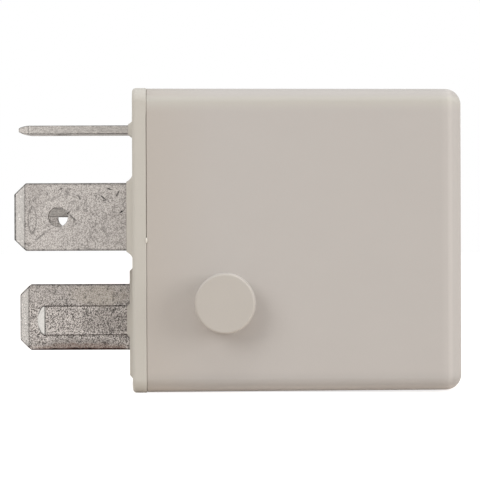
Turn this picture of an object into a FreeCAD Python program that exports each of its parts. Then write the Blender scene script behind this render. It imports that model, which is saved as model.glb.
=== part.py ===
"""Five-blade plug-in relay: a changeover relay of the 28 mm cube kind, drawn lying on its side.

Frame: millimetres. The seating plane (the underside of the flange) is x = 0 and its centre is the
origin. +X runs from the blades to the closed end of the cover, +Z is up, and the stud faces -Y.
"""
import FreeCAD, Part
import math
import os
import re

import Sketcher

Vector = FreeCAD.Vector
Rotation = FreeCAD.Rotation

# Every size that can be set by itself: its name, its value in millimetres or degrees, what it is.
SIZES = [
    # housing
    ("housing_width", 28.0, "flange, across both flats"),
    ("housing_length", 30.2, "seating plane to closed end"),
    ("flange_thickness", 1.3, "base flange"),
    ("flange_proud", 0.05, "flange beyond the cover on each side"),
    ("flange_edge", 0.33, "rounding of the flange's outer edge"),
    ("seam_gap", 0.02, "flange to rim of cover"),
    ("pry_depth", 0.03, "shallow slot in the flange that widens the seam"),
    ("pry_width", 0.25, "how far the slot reaches in"),
    ("pry_length", 11.6, "length of the slot, from the middle of the side"),
    ("cover_wall", 1.2, "side walls of the cover"),
    ("cover_end_wall", 1.2, "closed end of the cover"),
    ("cover_draft", 0.26, "draft of the cover, degrees"),
    ("long_edge", 1.3, "rounding of the edges along the cover"),
    ("end_edge", 1.45, "rounding of the edges round the closed end"),
    ("inner_edge", 0.5, "rounding inside the cover"),
    ("stud_diameter", 5.5, "keying stud"),
    ("stud_height", 2.2, "stud beyond the wall"),
    ("stud_edge", 0.2, "rounding of the stud's rim"),
    ("stud_x", 8.5, "stud centre from the seating plane"),
    ("stud_drop", 5.8, "stud centre below the middle"),
    ("stud_wall", 1.1, "wall left round the hollow behind the stud"),
    ("rim_lead", 0.3, "lead-in chamfer inside the open end"),
    ("snap_start", 2.4, "catch face of the lugs from the seating plane"),
    ("snap_length", 1.5, "lugs, along the plug"),
    ("snap_height", 0.4, "lugs beyond the plug"),
    ("snap_land", 0.4, "flat crest of each lug before its ramp"),
    ("snap_width", 4.0, "lugs"),
    ("snap_spacing", 13.0, "lug to lug"),
    ("snap_clearance", 0.1, "lugs to the groove in the cover"),
    # base
    ("plug_clearance", 0.1, "base plug to inside of cover"),
    ("plug_height", 5.2, "top of the base skirt"),
    ("deck_height", 3.2, "floor that carries the works"),
    ("skirt_wall", 0.8, "rim round the deck"),
    ("plug_lead", 0.4, "lead-in chamfer round the rim"),
    ("rest_width", 1.2, "ribs that the foot of the yoke stands on"),
    ("rest_bottom", 4.9, "lower end of the ribs below the middle"),
    ("rest_top", 0.9, "upper end of the ribs above the middle"),
    ("slot_clearance", 0.02, "blade to its slot, each side"),
    ("collar_height", 0.7, "collar round each blade"),
    ("collar_radius", 1.2, "hollow flare of the collars"),
    ("island_height", 0.62, "raised island round terminal 30"),
    ("island_top", 2.9, "upper end of the island below the middle"),
    ("island_bottom", 12.8, "lower end of the island below the middle"),
    ("island_half_width", 2.6, "half width of the island's top"),
    ("bead_block_height", 0.92, "block in front of the bead, beyond the seating plane"),
    ("bead_block_width", 2.65, "top of the block, across"),
    ("bead_block_depth", 0.9, "top of the block, outwards from the bead"),
    # blades
    ("blade_width", 6.3, "plug-in blades"),
    ("blade_thickness", 0.8, "plug-in blades"),
    ("blade_length", 11.15, "blades beyond the seating plane"),
    ("tip_chamfer_length", 1.1, "corner cut of the tip, along"),
    ("tip_chamfer_width", 1.05, "corner cut of the tip, across"),
    ("tip_bevel", 1.0, "lead-in bevel, along"),
    ("tip_nose", 0.36, "thickness left at the tip"),
    ("tip_bevel_radius", 2.6, "crown of the bevel"),
    ("detent_hole", 1.8, "diameter"),
    ("detent_setback", 4.1, "hole centre from the tip"),
    ("row_87", 10.5, "terminal 87 above the middle"),
    ("row_87a", 2.65, "terminal 87a above the middle"),
    ("row_coil", 2.2, "terminals 85 and 86 above the middle"),
    ("row_30", -7.3, "terminal 30 below the middle"),
    ("coil_spacing", 16.8, "terminal 85 to terminal 86"),
    ("bead_width", 2.8, "stamped bead of terminal 30"),
    ("bead_height", 0.3, "bead above the face"),
    ("bead_offset", 0.32, "bead below the middle of the blade"),
    ("bead_setback", 1.75, "end of the bead from the tip"),
    ("bead_ramp", 0.72, "sloping end of the bead"),
    # inner ends of the terminals
    ("tab_gap", 0.2, "deck to the bent tabs"),
    ("bend_inside", 0.2, "inside radius of the bent tabs"),
    ("tag_width", 2.4, "solder tags of the coil terminals"),
    ("tag_top", 10.6, "top of the solder tags"),
    ("tag_notch_width", 0.8, "notch in the end of each tag"),
    ("tag_notch_depth", 0.35, "notch in the end of each tag"),
    ("weld_tab_reach", 5.4, "tab of terminal 30 under the yoke"),
    ("riser_outer", 6.5, "outer edge of the riser of terminal 87"),
    ("riser_inner", 0.5, "inner edge of the riser of terminal 87"),
    ("nc_riser_inner", 3.8, "inner edge of the riser of terminal 87a"),
    ("nc_riser_outer", 8.4, "outer edge of the riser of terminal 87a"),
    ("arm_half_width", 2.6, "contact arms past the contact"),
    ("arm_edge", 0.4, "contact arms beyond the rim of the contact"),
    ("arm_depth", 3.2, "widened head of each riser"),
    # magnet
    ("yoke_thickness", 1.5, "iron sheet"),
    ("yoke_width", 12.0, "iron sheet"),
    ("yoke_floor", -11.7, "outer face of the yoke leg"),
    ("yoke_bend", 0.2, "inside radius of the yoke bend"),
    ("yoke_foot", 12.9, "reach of the foot"),
    ("tang_width", 2.0, "tangs pressed into the base"),
    ("tang_spacing", 8.8, "tang to tang"),
    ("tang_length", 2.6, "tangs below the foot"),
    ("ear_width", 1.5, "ears that guide the armature at the hinge"),
    ("ear_height", 1.1, "ears beyond the end of the leg"),
    ("ear_clearance", 0.15, "ears to the armature"),
    ("press_clearance", 0.02, "pressed fits, each side"),
    ("core_diameter", 5.5, "core shank"),
    ("core_neck", 4.4, "neck through the foot of the yoke"),
    ("core_upset", 5.4, "staked end"),
    ("core_upset_height", 0.5, "staked end"),
    ("pole_diameter", 8.8, "pole head"),
    ("pole_thickness", 1.0, "pole head"),
    ("pole_chamfer", 0.25, "rim of the pole face"),
    ("bobbin_gap", 0.2, "bobbin flange to yoke leg"),
    ("bobbin_length", 16.8, "over both flanges"),
    ("bobbin_flange", 15.2, "across the flanges"),
    ("bobbin_flange_thickness", 1.0, "flanges"),
    ("bobbin_wall", 0.8, "tube"),
    ("bobbin_corner", 2.6, "corner radius of the flanges"),
    ("wire_slot", 0.7, "slot in the lower flange for the inner end of the wire"),
    ("bobbin_bore_clearance", 0.05, "core to tube"),
    ("winding_diameter", 12.5, "outside of the wire"),
    ("winding_end_gap", 0.05, "winding to flanges"),
    ("lead_wire", 0.3, "coil leads"),
    ("lead_slope", 40, "degrees, where a lead leaves the winding"),
    ("lead_tail", 1.2, "ends of each lead, on the winding and along the tag"),
    # armature and spring
    ("armature_thickness", 1.2, "iron clapper"),
    ("armature_width", 11.0, "at the hinge"),
    ("armature_nose", 8.6, "width at the free end"),
    ("armature_length", 15.2, "hinge to free end"),
    ("armature_taper", 7.6, "where it starts to narrow, from the hinge"),
    ("armature_corner", 1.2, "corner cuts at the free end"),
    ("residual_gap", 0.05, "pole to armature when pulled in"),
    ("open_angle", 2.4, "degrees, armature released"),
    ("spring_thickness", 0.25, "bronze leaf"),
    ("spring_width", 9.4, "over the yoke and the armature"),
    ("spring_nose", 4.4, "width at the contact"),
    ("spring_foot", 14.5, "lower end of the leaf from the hinge"),
    ("spring_taper", 7.0, "where it starts to narrow, from the hinge"),
    ("spring_window", 3.6, "window between the two loops"),
    ("window_reach", 3.6, "window along the yoke leg, from the hinge"),
    ("window_top", 1.9, "window past the hinge"),
    ("spring_tip", 0.2, "leaf beyond the rim of the contact"),
    ("loop_start", 4.8, "where the loop leaves the yoke leg, from the hinge"),
    ("loop_turn", 1.2, "outer corner of the loop, before the hinge"),
    ("loop_bulge", 0.52, "loop outside the yoke"),
    ("loop_rise", 0.75, "loop above the armature"),
    ("loop_ease", 2.25, "bend radius where the loop starts"),
    ("loop_corner", 1.5, "bend radius of the outer corner"),
    ("loop_crown", 0.75, "bend radii over the armature"),
    ("yoke_rivet_setback", 6.5, "nearer yoke rivet from the hinge"),
    ("yoke_rivet_pitch", 5.0, "rivet to rivet"),
    ("rivet_shank", 1.5, "diameter"),
    ("rivet_head", 2.2, "diameter"),
    ("rivet_head_height", 0.38, "heads"),
    ("rivet_rim", 0.13, "straight rim of each head"),
    ("armature_rivet_spacing", 6.4, "rivet to rivet"),
    ("armature_rivet_setback", 3.8, "rivets from the hinge"),
    ("rivet_clearance", 0.03, "rivets to their holes, radial"),
    # contacts
    ("contact_setback", 19.7, "hinge to contact"),
    ("moving_contact_diameter", 3.0, "both heads"),
    ("moving_head_lower", 0.6, "head towards terminal 87"),
    ("moving_head_upper", 0.5, "head towards terminal 87a"),
    ("fixed_contact_diameter", 3.2, "heads"),
    ("fixed_head", 0.6, "heads"),
    ("contact_shank", 1.4, "diameter"),
    ("contact_tail", 2.2, "riveted-over tails"),
    ("contact_tail_height", 0.3, "riveted-over tails"),
    ("contact_crown", 0.12, "crown of every contact face"),
    ("contact_clearance", 0.03, "left between closed faces"),
    # resistor
    ("resistor_x", 9.3, "from the seating plane"),
    ("resistor_z", 7.7, "above the middle"),
    ("resistor_length", 6.8, "body"),
    ("resistor_cap", 2.5, "diameter of the ends"),
    ("resistor_waist", 2.15, "diameter of the middle"),
    ("resistor_waist_half", 1.36, "half length of the middle"),
    ("resistor_step", 0.42, "slope from the ends to the middle"),
    ("resistor_round", 0.62, "corner cuts of the ends"),
    ("resistor_lead", 0.6, "diameter"),
    ("resistor_lead_bend", 1.0, "bend radius"),
    ("solder_blob", 1.9, "across each joint"),
    ("solder_depth", 0.57, "half depth of each joint"),
]

# Places and sizes worked out from the ones above; each may use the names before it.
DERIVED = {
    "half_width": "housing_width / 2",
    "rim": "flange_thickness + seam_gap",
    "cover_half": "half_width - flange_proud",
    "cavity_half": "cover_half - cover_wall",
    "plug_half": "cavity_half - plug_clearance",
    "blade_half": "blade_width / 2",
    "sheet_half": "blade_thickness / 2",
    "bend_outside": "bend_inside + blade_thickness",
    "tab_under": "deck_height + tab_gap",
    "tab_top": "tab_under + blade_thickness",
    "foot_top": "tab_top + yoke_thickness",
    "yoke_corner": "yoke_bend + yoke_thickness",
    "bobbin_top": "foot_top + bobbin_length",
    "pole_face": "bobbin_top + pole_thickness",
    "core_axis": "yoke_floor + yoke_thickness + bobbin_gap + bobbin_flange / 2",
    "armature_top": "residual_gap + armature_thickness",
    "spring_top": "armature_top + spring_thickness",
    "no_face": "pole_face + armature_top - moving_head_lower - contact_clearance",
    "no_arm": "no_face - fixed_head",
    "nc_face": "pole_face + (spring_top + moving_head_upper) * cos(open_angle)"
    " + contact_setback * sin(open_angle) + contact_clearance",
    "nc_arm": "nc_face + fixed_head + blade_thickness",
    "contact_row": "yoke_floor + contact_setback",
    "nc_rise": "row_87 - row_87a",
    "arm_end": "contact_row - fixed_contact_diameter / 2 - arm_edge",
    "bobbin_bore_radius": "core_diameter / 2 + bobbin_bore_clearance",
    "hinge_x": "pole_face",
    "hinge_z": "yoke_floor",
    "rivet_hole": "rivet_shank / 2 + rivet_clearance",
    "margin": "blade_thickness",
}

doc = FreeCAD.newDocument("relay")
sizes = doc.addObject("Spreadsheet::Sheet", "sizes")
for number, (alias, amount, meaning) in enumerate(SIZES, start=1):
    sizes.set(f"A{number}", alias)
    sizes.set(f"B{number}", str(amount))
    sizes.set(f"C{number}", meaning)
    sizes.setAlias(f"B{number}", alias)
doc.recompute()

ALIASES = {alias for alias, amount, meaning in SIZES}


def bound(text):
    """The expression with every name led back to cells of the sheet."""

    def cell(match):
        word = match.group(0)
        if word in DERIVED:
            return f"({bound(DERIVED[word])})"
        return f"sizes.{word}" if word in ALIASES else word

    return re.sub(r"[a-z_][a-z_0-9]*", cell, text)


def size(text):
    """The present value of an expression."""
    return float(sizes.evalExpression(bound(text)))


# ---------------------------------------------------------------- document helpers


def new_body(label, at=("0", "0", "0"), turn=None):
    """A body whose Placement follows the sheet; turn is (axis, angle expression)."""
    body = doc.addObject("PartDesign::Body", label)
    body.Label = label
    place(body, at, turn)
    return body


def place(thing, at, turn=None):
    """Move a thing to a place that follows the sheet."""
    if turn:
        axis, angle = turn
        thing.Placement = FreeCAD.Placement(Vector(0, 0, 0), Rotation(axis, size(angle)))
        thing.setExpression("Placement.Rotation.Angle", bound(angle))
    for direction, text in zip("xyz", at):
        thing.setExpression(f"Placement.Base.{direction}", bound(text))


def arc_between(start, end, radius):
    """The short arc from start to end: anticlockwise if radius is positive."""
    chord = end - start
    reach = math.sqrt(max(0.0, radius**2 - (chord.Length / 2) ** 2))
    side = Vector(-chord.y, chord.x, 0).normalize() * math.copysign(reach, radius)
    centre = (start + end) / 2 + side
    first, last = (start, end) if radius > 0 else (end, start)
    angles = [math.atan2(p.y - centre.y, p.x - centre.x) for p in (first, last)]
    if angles[1] < angles[0]:
        angles[1] += 2 * math.pi
    return Part.ArcOfCircle(Part.Circle(centre, Vector(0, 0, 1), abs(radius)), *angles)


def pin(sketch, geometry, point, across, up):
    """Hold a point of the sketch at two expressions."""
    for kind, text in (("DistanceX", across), ("DistanceY", up)):
        held = Sketcher.Constraint(kind, -1, 1, geometry, point, size(text))
        row = sketch.addConstraint(held)
        sketch.setExpression(f"Constraints[{row}]", bound(text))


def set_radius(sketch, geometry, text):
    """Hold the radius of an arc or circle at an expression."""
    row = sketch.addConstraint(Sketcher.Constraint("Radius", geometry, abs(size(text))))
    sketch.setExpression(f"Constraints[{row}]", bound(text))


def draw_loop(sketch, corners):
    """Add a closed outline: each corner is (across, up), with a third item where the side that
    follows it is an arc: its radius, led by a minus sign if it runs clockwise."""
    points = [Vector(size(c[0]), size(c[1]), 0) for c in corners]
    starts, ends = [], []
    for index, corner in enumerate(corners):
        here, there = points[index], points[(index + 1) % len(points)]
        bend = corner[2] if len(corner) > 2 else None
        if bend is None:
            side = sketch.addGeometry(Part.LineSegment(here, there))
        else:
            side = sketch.addGeometry(arc_between(here, there, size(bend)))
            set_radius(sketch, side, bend.lstrip("-"))
        clockwise = bend is not None and bend.startswith("-")
        starts.append((side, 2 if clockwise else 1))
        ends.append((side, 1 if clockwise else 2))
    for index, corner in enumerate(corners):
        joined = Sketcher.Constraint("Coincident", *ends[index - 1], *starts[index])
        sketch.addConstraint(joined)
        pin(sketch, *starts[index], corner[0], corner[1])


def draw_circle(sketch, across, up, radius):
    """Add a circle."""
    centre = Vector(size(across), size(up), 0)
    ring = sketch.addGeometry(Part.Circle(centre, Vector(0, 0, 1), size(radius)))
    pin(sketch, ring, 3, across, up)
    set_radius(sketch, ring, radius)


def new_sketch(body, plane, loops=(), circles=(), offset="0"):
    """A fully held sketch on one of the body's own planes, moved along its normal by offset."""
    sketch = body.newObject("Sketcher::SketchObject", f"{body.Name}_sketch")
    support = next(f for f in body.Origin.OriginFeatures if f.Role == plane)
    sketch.AttachmentSupport = [(support, "")]
    sketch.MapMode = "FlatFace"
    sketch.setExpression("AttachmentOffset.Base.z", bound(offset))
    for loop in loops:
        draw_loop(sketch, loop)
    for circle in circles:
        draw_circle(sketch, *circle)
    return sketch


def set_extent(feature, length, both_ways, backwards, draft):
    """Length and direction of a pad or pocket; no length means all the way through."""
    feature.SideType = "Symmetric" if both_ways else "One side"
    feature.Reversed = backwards
    if length is None:
        feature.Type = "ThroughAll"
    else:
        feature.setExpression("Length", bound(length))
    if draft:
        feature.setExpression("TaperAngle", bound(draft))


def pad(body, sketch, length, both_ways=False, backwards=False, draft=None):
    """Raise material from a sketch."""
    feature = body.newObject("PartDesign::Pad", f"{body.Name}_pad")
    feature.Profile = sketch
    set_extent(feature, length, both_ways, backwards, draft)
    body.Tip = feature
    doc.recompute()


def pocket(body, sketch, length=None, both_ways=False, backwards=False, draft=None):
    """Cut material away, and make sure that some went."""
    before = body.Shape.Volume
    feature = body.newObject("PartDesign::Pocket", f"{body.Name}_pocket")
    feature.Profile = sketch
    set_extent(feature, length, both_ways, backwards, draft)
    body.Tip = feature
    doc.recompute()
    if body.Shape.Volume > before * (1 - 1e-7):
        raise RuntimeError(f"{feature.Name} cuts nothing")


def edge_names(shape, wanted):
    """Names of the edges whose box passes the test."""
    edges = enumerate(shape.Edges, start=1)
    return [f"Edge{number}" for number, edge in edges if wanted(edge.BoundBox)]


def fillet(body, radius, wanted):
    """Round the edges that pass the test."""
    base = body.Tip
    names = edge_names(base.Shape, wanted)
    feature = body.newObject("PartDesign::Fillet", f"{body.Name}_fillet")
    feature.Base = (base, names)
    feature.setExpression("Radius", bound(radius))
    body.Tip = feature
    doc.recompute()


def chamfer(body, setback, wanted):
    """Bevel the edges that pass the test."""
    base = body.Tip
    names = edge_names(base.Shape, wanted)
    feature = body.newObject("PartDesign::Chamfer", f"{body.Name}_chamfer")
    feature.Base = (base, names)
    feature.setExpression("Size", bound(setback))
    body.Tip = feature
    doc.recompute()


def mirror(body, feature, plane):
    """Repeat a feature on the other side of one of the body's own planes."""
    copy = body.newObject("PartDesign::Mirrored", f"{body.Name}_mirrored")
    copy.Originals = [feature]
    copy.MirrorPlane = (next(f for f in body.Origin.OriginFeatures if f.Role == plane), [""])
    body.Tip = copy
    doc.recompute()


def revolve(body, loop, axis="H_Axis"):
    """A solid of revolution from a half outline."""
    sketch = new_sketch(body, "XY_Plane", [loop])
    feature = body.newObject("PartDesign::Revolution", f"{body.Name}_turned")
    feature.Profile = sketch
    feature.ReferenceAxis = (sketch, [axis])
    feature.Angle = 360
    body.Tip = feature
    doc.recompute()


def rectangle(left, bottom, right, top):
    """Four corners."""
    return [(left, bottom), (right, bottom), (right, top), (left, top)]


def rounded_square(half, radius, middle="0"):
    """A square with round corners about (0, middle)."""
    low, high = f"{middle} - ({half})", f"{middle} + ({half})"
    return [
        (f"-({half}) + ({radius})", low),
        (f"({half}) - ({radius})", low, radius),
        (f"({half})", f"{low} + ({radius})"),
        (f"({half})", f"{high} - ({radius})", radius),
        (f"({half}) - ({radius})", high),
        (f"-({half}) + ({radius})", high, radius),
        (f"-({half})", f"{high} - ({radius})"),
        (f"-({half})", f"{low} + ({radius})", radius),
    ]


LEVEL_SLACK = 1e-4


def at_height(value, axis="X"):
    """A test for edges that lie at one height along an axis."""

    def level(box):
        low, high = getattr(box, f"{axis}Min"), getattr(box, f"{axis}Max")
        return abs(low - value) < LEVEL_SLACK and abs(high - value) < LEVEL_SLACK

    return level


def spread(box):
    """How far a box reaches from the X axis, along Y or Z."""
    return max(-box.YMin, box.YMax, -box.ZMin, box.ZMax)


def boolean(kind, label, first, others):
    """A cut or fusion of parts that are already placed."""
    tools = doc.addObject("Part::Compound", f"{label}_tools")
    tools.Links = others
    result = doc.addObject(f"Part::{kind}", label)
    result.Base = first
    result.Tool = tools
    result.Refine = True
    doc.recompute()
    return result


def rounded_path(points, radii):
    """A wire of straight runs joined by tangent arcs, one radius for each inner corner."""
    edges, last = [], points[0]
    for before, corner, after, radius in zip(points, points[1:], points[2:], radii):
        inward = (before - corner).normalize()
        outward = (after - corner).normalize()
        half = inward.getAngle(outward) / 2
        setback = radius / math.tan(half)
        start, end = corner + inward * setback, corner + outward * setback
        bisector = (inward + outward).normalize()
        crown = corner + bisector * (radius / math.sin(half) - radius)
        edges.append(Part.LineSegment(last, start).toShape())
        edges.append(Part.Arc(start, crown, end).toShape())
        last = end
    edges.append(Part.LineSegment(last, points[-1]).toShape())
    return Part.Wire(edges)


# ---------------------------------------------------------------- plug-in blades

TIP = "-blade_length"
UPRIGHT = (Vector(1, 0, 0), "90")
BLADES = {
    "terminal_30": (("0", "0", "row_30"), UPRIGHT),
    "terminal_85": (("0", "-coil_spacing / 2", "row_coil"), UPRIGHT),
    "terminal_86": (("0", "coil_spacing / 2", "row_coil"), UPRIGHT),
    "terminal_87": (("0", "0", "row_87"), None),
    "terminal_87a": (("0", "0", "row_87a"), None),
}


def blade_outline(inner_end):
    """Plan of a terminal: the blade with its cut corners, then the corners of its inner end."""
    shoulder = f"{TIP} + tip_chamfer_length"
    corner = "blade_half - tip_chamfer_width"
    low = [(TIP, f"-({corner})"), (shoulder, "-blade_half")]
    high = [(shoulder, "blade_half"), (TIP, corner)]
    return low + inner_end + high


def finish_blade(body, with_hole):
    """Crowned lead-in bevels on both faces of the tip, and the detent hole."""
    start = f"{TIP} + tip_bevel"
    beyond = f"{TIP} - margin"
    upper = [
        (start, "sheet_half", "tip_bevel_radius"),
        (TIP, "tip_nose / 2"),
        (beyond, "tip_nose / 2"),
        (beyond, "sheet_half + margin"),
        (start, "sheet_half + margin"),
    ]
    lower = [
        (start, "-sheet_half", "-tip_bevel_radius"),
        (TIP, "-tip_nose / 2"),
        (beyond, "-tip_nose / 2"),
        (beyond, "-sheet_half - margin"),
        (start, "-sheet_half - margin"),
    ]
    pocket(body, new_sketch(body, "XZ_Plane", [upper, lower]), both_ways=True)
    if with_hole:
        hole = (f"{TIP} + detent_setback", "0", "detent_hole / 2")
        pocket(body, new_sketch(body, "XY_Plane", circles=[hole]), both_ways=True)


def cut_round(body, outline, reach):
    """Leave only what lies inside the outline, seen from above."""
    frame = rectangle(f"{TIP} - margin", f"-({reach})", "housing_length", reach)
    pocket(body, new_sketch(body, "XY_Plane", [frame, outline]), both_ways=True)


def coil_terminal(label):
    """A flat blank: the blade, and a narrow notched solder tag beside the coil."""
    body = new_body(label, *BLADES[label])
    inner_end = [
        ("tab_under", "-blade_half"),
        ("tab_under", "-tag_width / 2"),
        ("tag_top", "-tag_width / 2"),
        ("tag_top", "-tag_notch_width / 2"),
        ("tag_top - tag_notch_depth", "0"),
        ("tag_top", "tag_notch_width / 2"),
        ("tag_top", "tag_width / 2"),
        ("tab_under", "tag_width / 2"),
        ("tab_under", "blade_half"),
    ]
    flat = new_sketch(body, "XY_Plane", [blade_outline(inner_end)])
    pad(body, flat, "blade_thickness", both_ways=True)
    finish_blade(body, with_hole=True)
    return body


def bent_strip(top, reach):
    """Side view of a strip that runs up and is bent over towards its lower face."""
    under = f"{top} - blade_thickness"
    return [
        (TIP, "-sheet_half"),
        (f"{under} - bend_inside", "-sheet_half", "-bend_inside"),
        (under, "-sheet_half - bend_inside"),
        (under, f"-({reach})"),
        (top, f"-({reach})"),
        (top, "sheet_half - bend_outside", "bend_outside"),
        (f"{top} - bend_outside", "sheet_half"),
        (TIP, "sheet_half"),
    ]


def make_terminal_30():
    """Common terminal: beaded blade, and a tab bent under the foot of the yoke."""
    label = "terminal_30"
    body = new_body(label, *BLADES[label])
    side = bent_strip("tab_top", "weld_tab_reach")
    pad(body, new_sketch(body, "XZ_Plane", [side]), "blade_width", both_ways=True)
    tab_low = "yoke_floor + yoke_thickness + 2 * tab_gap - row_30"
    tab_high = "blade_half / 2"
    inner_end = [
        ("deck_height / 2", "-blade_half"),
        ("deck_height / 2", tab_low),
        ("tab_top + margin", tab_low),
        ("tab_top + margin", tab_high),
        ("deck_height / 2", tab_high),
        ("deck_height / 2", "blade_half"),
    ]
    cut_round(body, blade_outline(inner_end), "blade_width")
    finish_blade(body, with_hole=False)
    add_bead(body)
    return body


def add_bead(body):
    """The stamped bead: raised on one face, with the matching hollow in the other."""
    end = f"{TIP} + bead_setback"
    half = "bead_width / 2"
    crown = "(bead_width^2 / 4 + bead_ramp^2) / (2 * bead_ramp)"
    low, high = f"-bead_offset - {half}", f"-bead_offset + {half}"
    block = "-bead_block_height - slot_clearance"
    raised = [
        (f"{end} + bead_ramp", high, crown),
        (f"{end} + bead_ramp", low),
        (block, low),
        (block, high),
    ]
    top = new_sketch(body, "XY_Plane", [raised], offset="sheet_half")
    pad(body, top, "bead_height")
    ramp = [
        (end, "sheet_half"),
        (f"{end} + bead_ramp", "sheet_half + bead_height"),
        (f"{end} + bead_ramp", "sheet_half + bead_height + margin"),
        (end, "sheet_half + bead_height + margin"),
    ]
    pocket(body, new_sketch(body, "XZ_Plane", [ramp]), both_ways=True)
    hollow_half = f"({half} - bead_height)"
    hollow = rectangle(
        f"{end} + bead_ramp",
        f"-bead_offset - {hollow_half}",
        "-collar_height",
        f"-bead_offset + {hollow_half}",
    )
    back = new_sketch(body, "XY_Plane", [hollow], offset="-sheet_half")
    pocket(body, back, "bead_height", backwards=True)


def make_terminal_87():
    """Normally open terminal: the strip rises beside the coil and bends in under the contact."""
    label = "terminal_87"
    body = new_body(label, *BLADES[label])
    side = bent_strip("no_arm", "row_87 - arm_end")
    pad(body, new_sketch(body, "XZ_Plane", [side]), "2 * riser_outer", both_ways=True)
    head = "no_arm - arm_depth"
    inner_end = [
        ("tab_under", "-blade_half"),
        ("tab_under", "-riser_outer"),
        ("no_arm + margin", "-riser_outer"),
        ("no_arm + margin", "arm_half_width"),
        (head, "arm_half_width"),
        (f"{head} - arm_half_width", "-riser_inner"),
        ("tab_under", "-riser_inner"),
        ("tab_under", "blade_half"),
    ]
    cut_round(body, blade_outline(inner_end), "riser_outer + margin")
    finish_blade(body, with_hole=True)
    drill_contact_hole(body, "row_87")
    return body


def drill_contact_hole(body, row):
    """The hole in a contact arm that takes the shank of its contact."""
    centre = ("0", f"contact_row - {row}", "contact_shank / 2 + rivet_clearance")
    hole = new_sketch(body, "YZ_Plane", circles=[centre], offset="tag_top")
    pocket(body, hole, backwards=True)


def make_terminal_87a():
    """Normally closed terminal: bent outwards under the coil, up, and over the contact."""
    label = "terminal_87a"
    body = new_body(label, *BLADES[label])
    inner, outer = "nc_rise - sheet_half", "nc_rise + sheet_half"
    arm_under = "nc_arm - blade_thickness"
    arm_end = "arm_end - row_87a"
    side = [
        (TIP, "-sheet_half"),
        ("tab_top - bend_outside", "-sheet_half", "bend_outside"),
        ("tab_top", "-sheet_half + bend_outside"),
        ("tab_top", f"{inner} - bend_inside", "-bend_inside"),
        ("tab_top + bend_inside", inner),
        (f"{arm_under} - bend_inside", inner, "-bend_inside"),
        (arm_under, f"{inner} - bend_inside"),
        (arm_under, arm_end),
        ("nc_arm", arm_end),
        ("nc_arm", f"{outer} - bend_outside", "bend_outside"),
        ("nc_arm - bend_outside", outer),
        ("tab_under + bend_outside", outer, "bend_outside"),
        ("tab_under", f"{outer} - bend_outside"),
        ("tab_under", "sheet_half + bend_inside", "-bend_inside"),
        ("tab_under - bend_inside", "sheet_half"),
        (TIP, "sheet_half"),
    ]
    blank = "2 * nc_riser_outer"
    pad(body, new_sketch(body, "XZ_Plane", [side]), blank, both_ways=True)
    head = "nc_arm - arm_depth"
    inner_end = [
        ("tab_top", "-blade_half"),
        ("tab_top", "nc_riser_inner"),
        (head, "nc_riser_inner"),
        (head, "-arm_half_width"),
        ("nc_arm + margin", "-arm_half_width"),
        ("nc_arm + margin", "nc_riser_outer"),
        ("tab_under", "nc_riser_outer"),
        ("tab_under", "blade_half"),
    ]
    cut_round(body, blade_outline(inner_end), "nc_riser_outer + margin")
    trim_foot(body)
    finish_blade(body, with_hole=True)
    drill_contact_hole(body, "row_87a")
    return body


def trim_foot(body):
    """Take the waste off both sides of the strip that runs under the coil."""
    half_way = "nc_rise / 2"
    beside_coil_terminal = [
        ("blade_half", "-margin"),
        ("nc_riser_outer + margin", "-margin"),
        ("nc_riser_outer + margin", f"{half_way} + margin"),
        ("nc_riser_outer", f"{half_way} + margin"),
        ("blade_half", half_way),
    ]
    beside_terminal_87 = [
        ("-blade_half - margin", half_way),
        ("-blade_half", half_way),
        ("nc_riser_inner", "nc_rise - margin"),
        ("nc_riser_inner", "nc_rise + 2 * margin"),
        ("-blade_half - margin", "nc_rise + 2 * margin"),
    ]
    waste = new_sketch(
        body, "YZ_Plane", [beside_coil_terminal, beside_terminal_87], offset="tab_top + margin"
    )
    pocket(body, waste, "3 * margin")


# ---------------------------------------------------------------- housing


def make_cover():
    """Open-ended moulded box: drafted walls, snap grooves, and the keying stud, hollow behind."""
    body = new_body("cover")
    outside = new_sketch(body, "YZ_Plane", [rounded_square("cover_half", "long_edge")], offset="rim")
    pad(body, outside, "housing_length - rim", draft="-cover_draft")
    fillet(body, "end_edge", at_height(size("housing_length")))
    hollow = [rounded_square("cavity_half", "inner_edge")]
    inside = new_sketch(body, "YZ_Plane", hollow, offset="rim")
    depth = "housing_length - cover_end_wall - rim"
    pocket(body, inside, depth, backwards=True, draft="-cover_draft")
    rim, reach = at_height(size("rim")), size("cavity_half") + LEVEL_SLACK
    chamfer(body, "rim_lead", lambda box: rim(box) and spread(box) < reach)
    cut_snap_grooves(body)
    stud = [("stud_x", "-stud_drop", "stud_diameter / 2")]
    root = new_sketch(body, "XZ_Plane", circles=stud, offset="cover_half - cover_wall / 2")
    pad(body, root, "cover_wall / 2 + stud_height")
    fillet(body, "stud_edge", at_height(-size("cover_half + stud_height"), "Y"))
    core = [("stud_x", "-stud_drop", "stud_diameter / 2 - stud_wall")]
    behind = new_sketch(body, "XZ_Plane", circles=core, offset="cavity_half - margin")
    pocket(body, behind, "margin + cover_wall + stud_height - stud_wall", backwards=True)
    return body


def cut_snap_grooves(body):
    """One groove inside each of two opposite walls, which catches the lugs of the base."""
    low = "cavity_half - margin"
    floor = "plug_half + snap_height + snap_clearance"
    start = "snap_start - snap_clearance"
    end = "snap_start + snap_length + snap_clearance"
    grooves = [
        rectangle(start, low, end, floor),
        rectangle(start, f"-({floor})", end, f"-({low})"),
    ]
    length = "snap_spacing + snap_width + 2 * snap_clearance"
    pocket(body, new_sketch(body, "XZ_Plane", grooves), length, both_ways=True)


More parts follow.
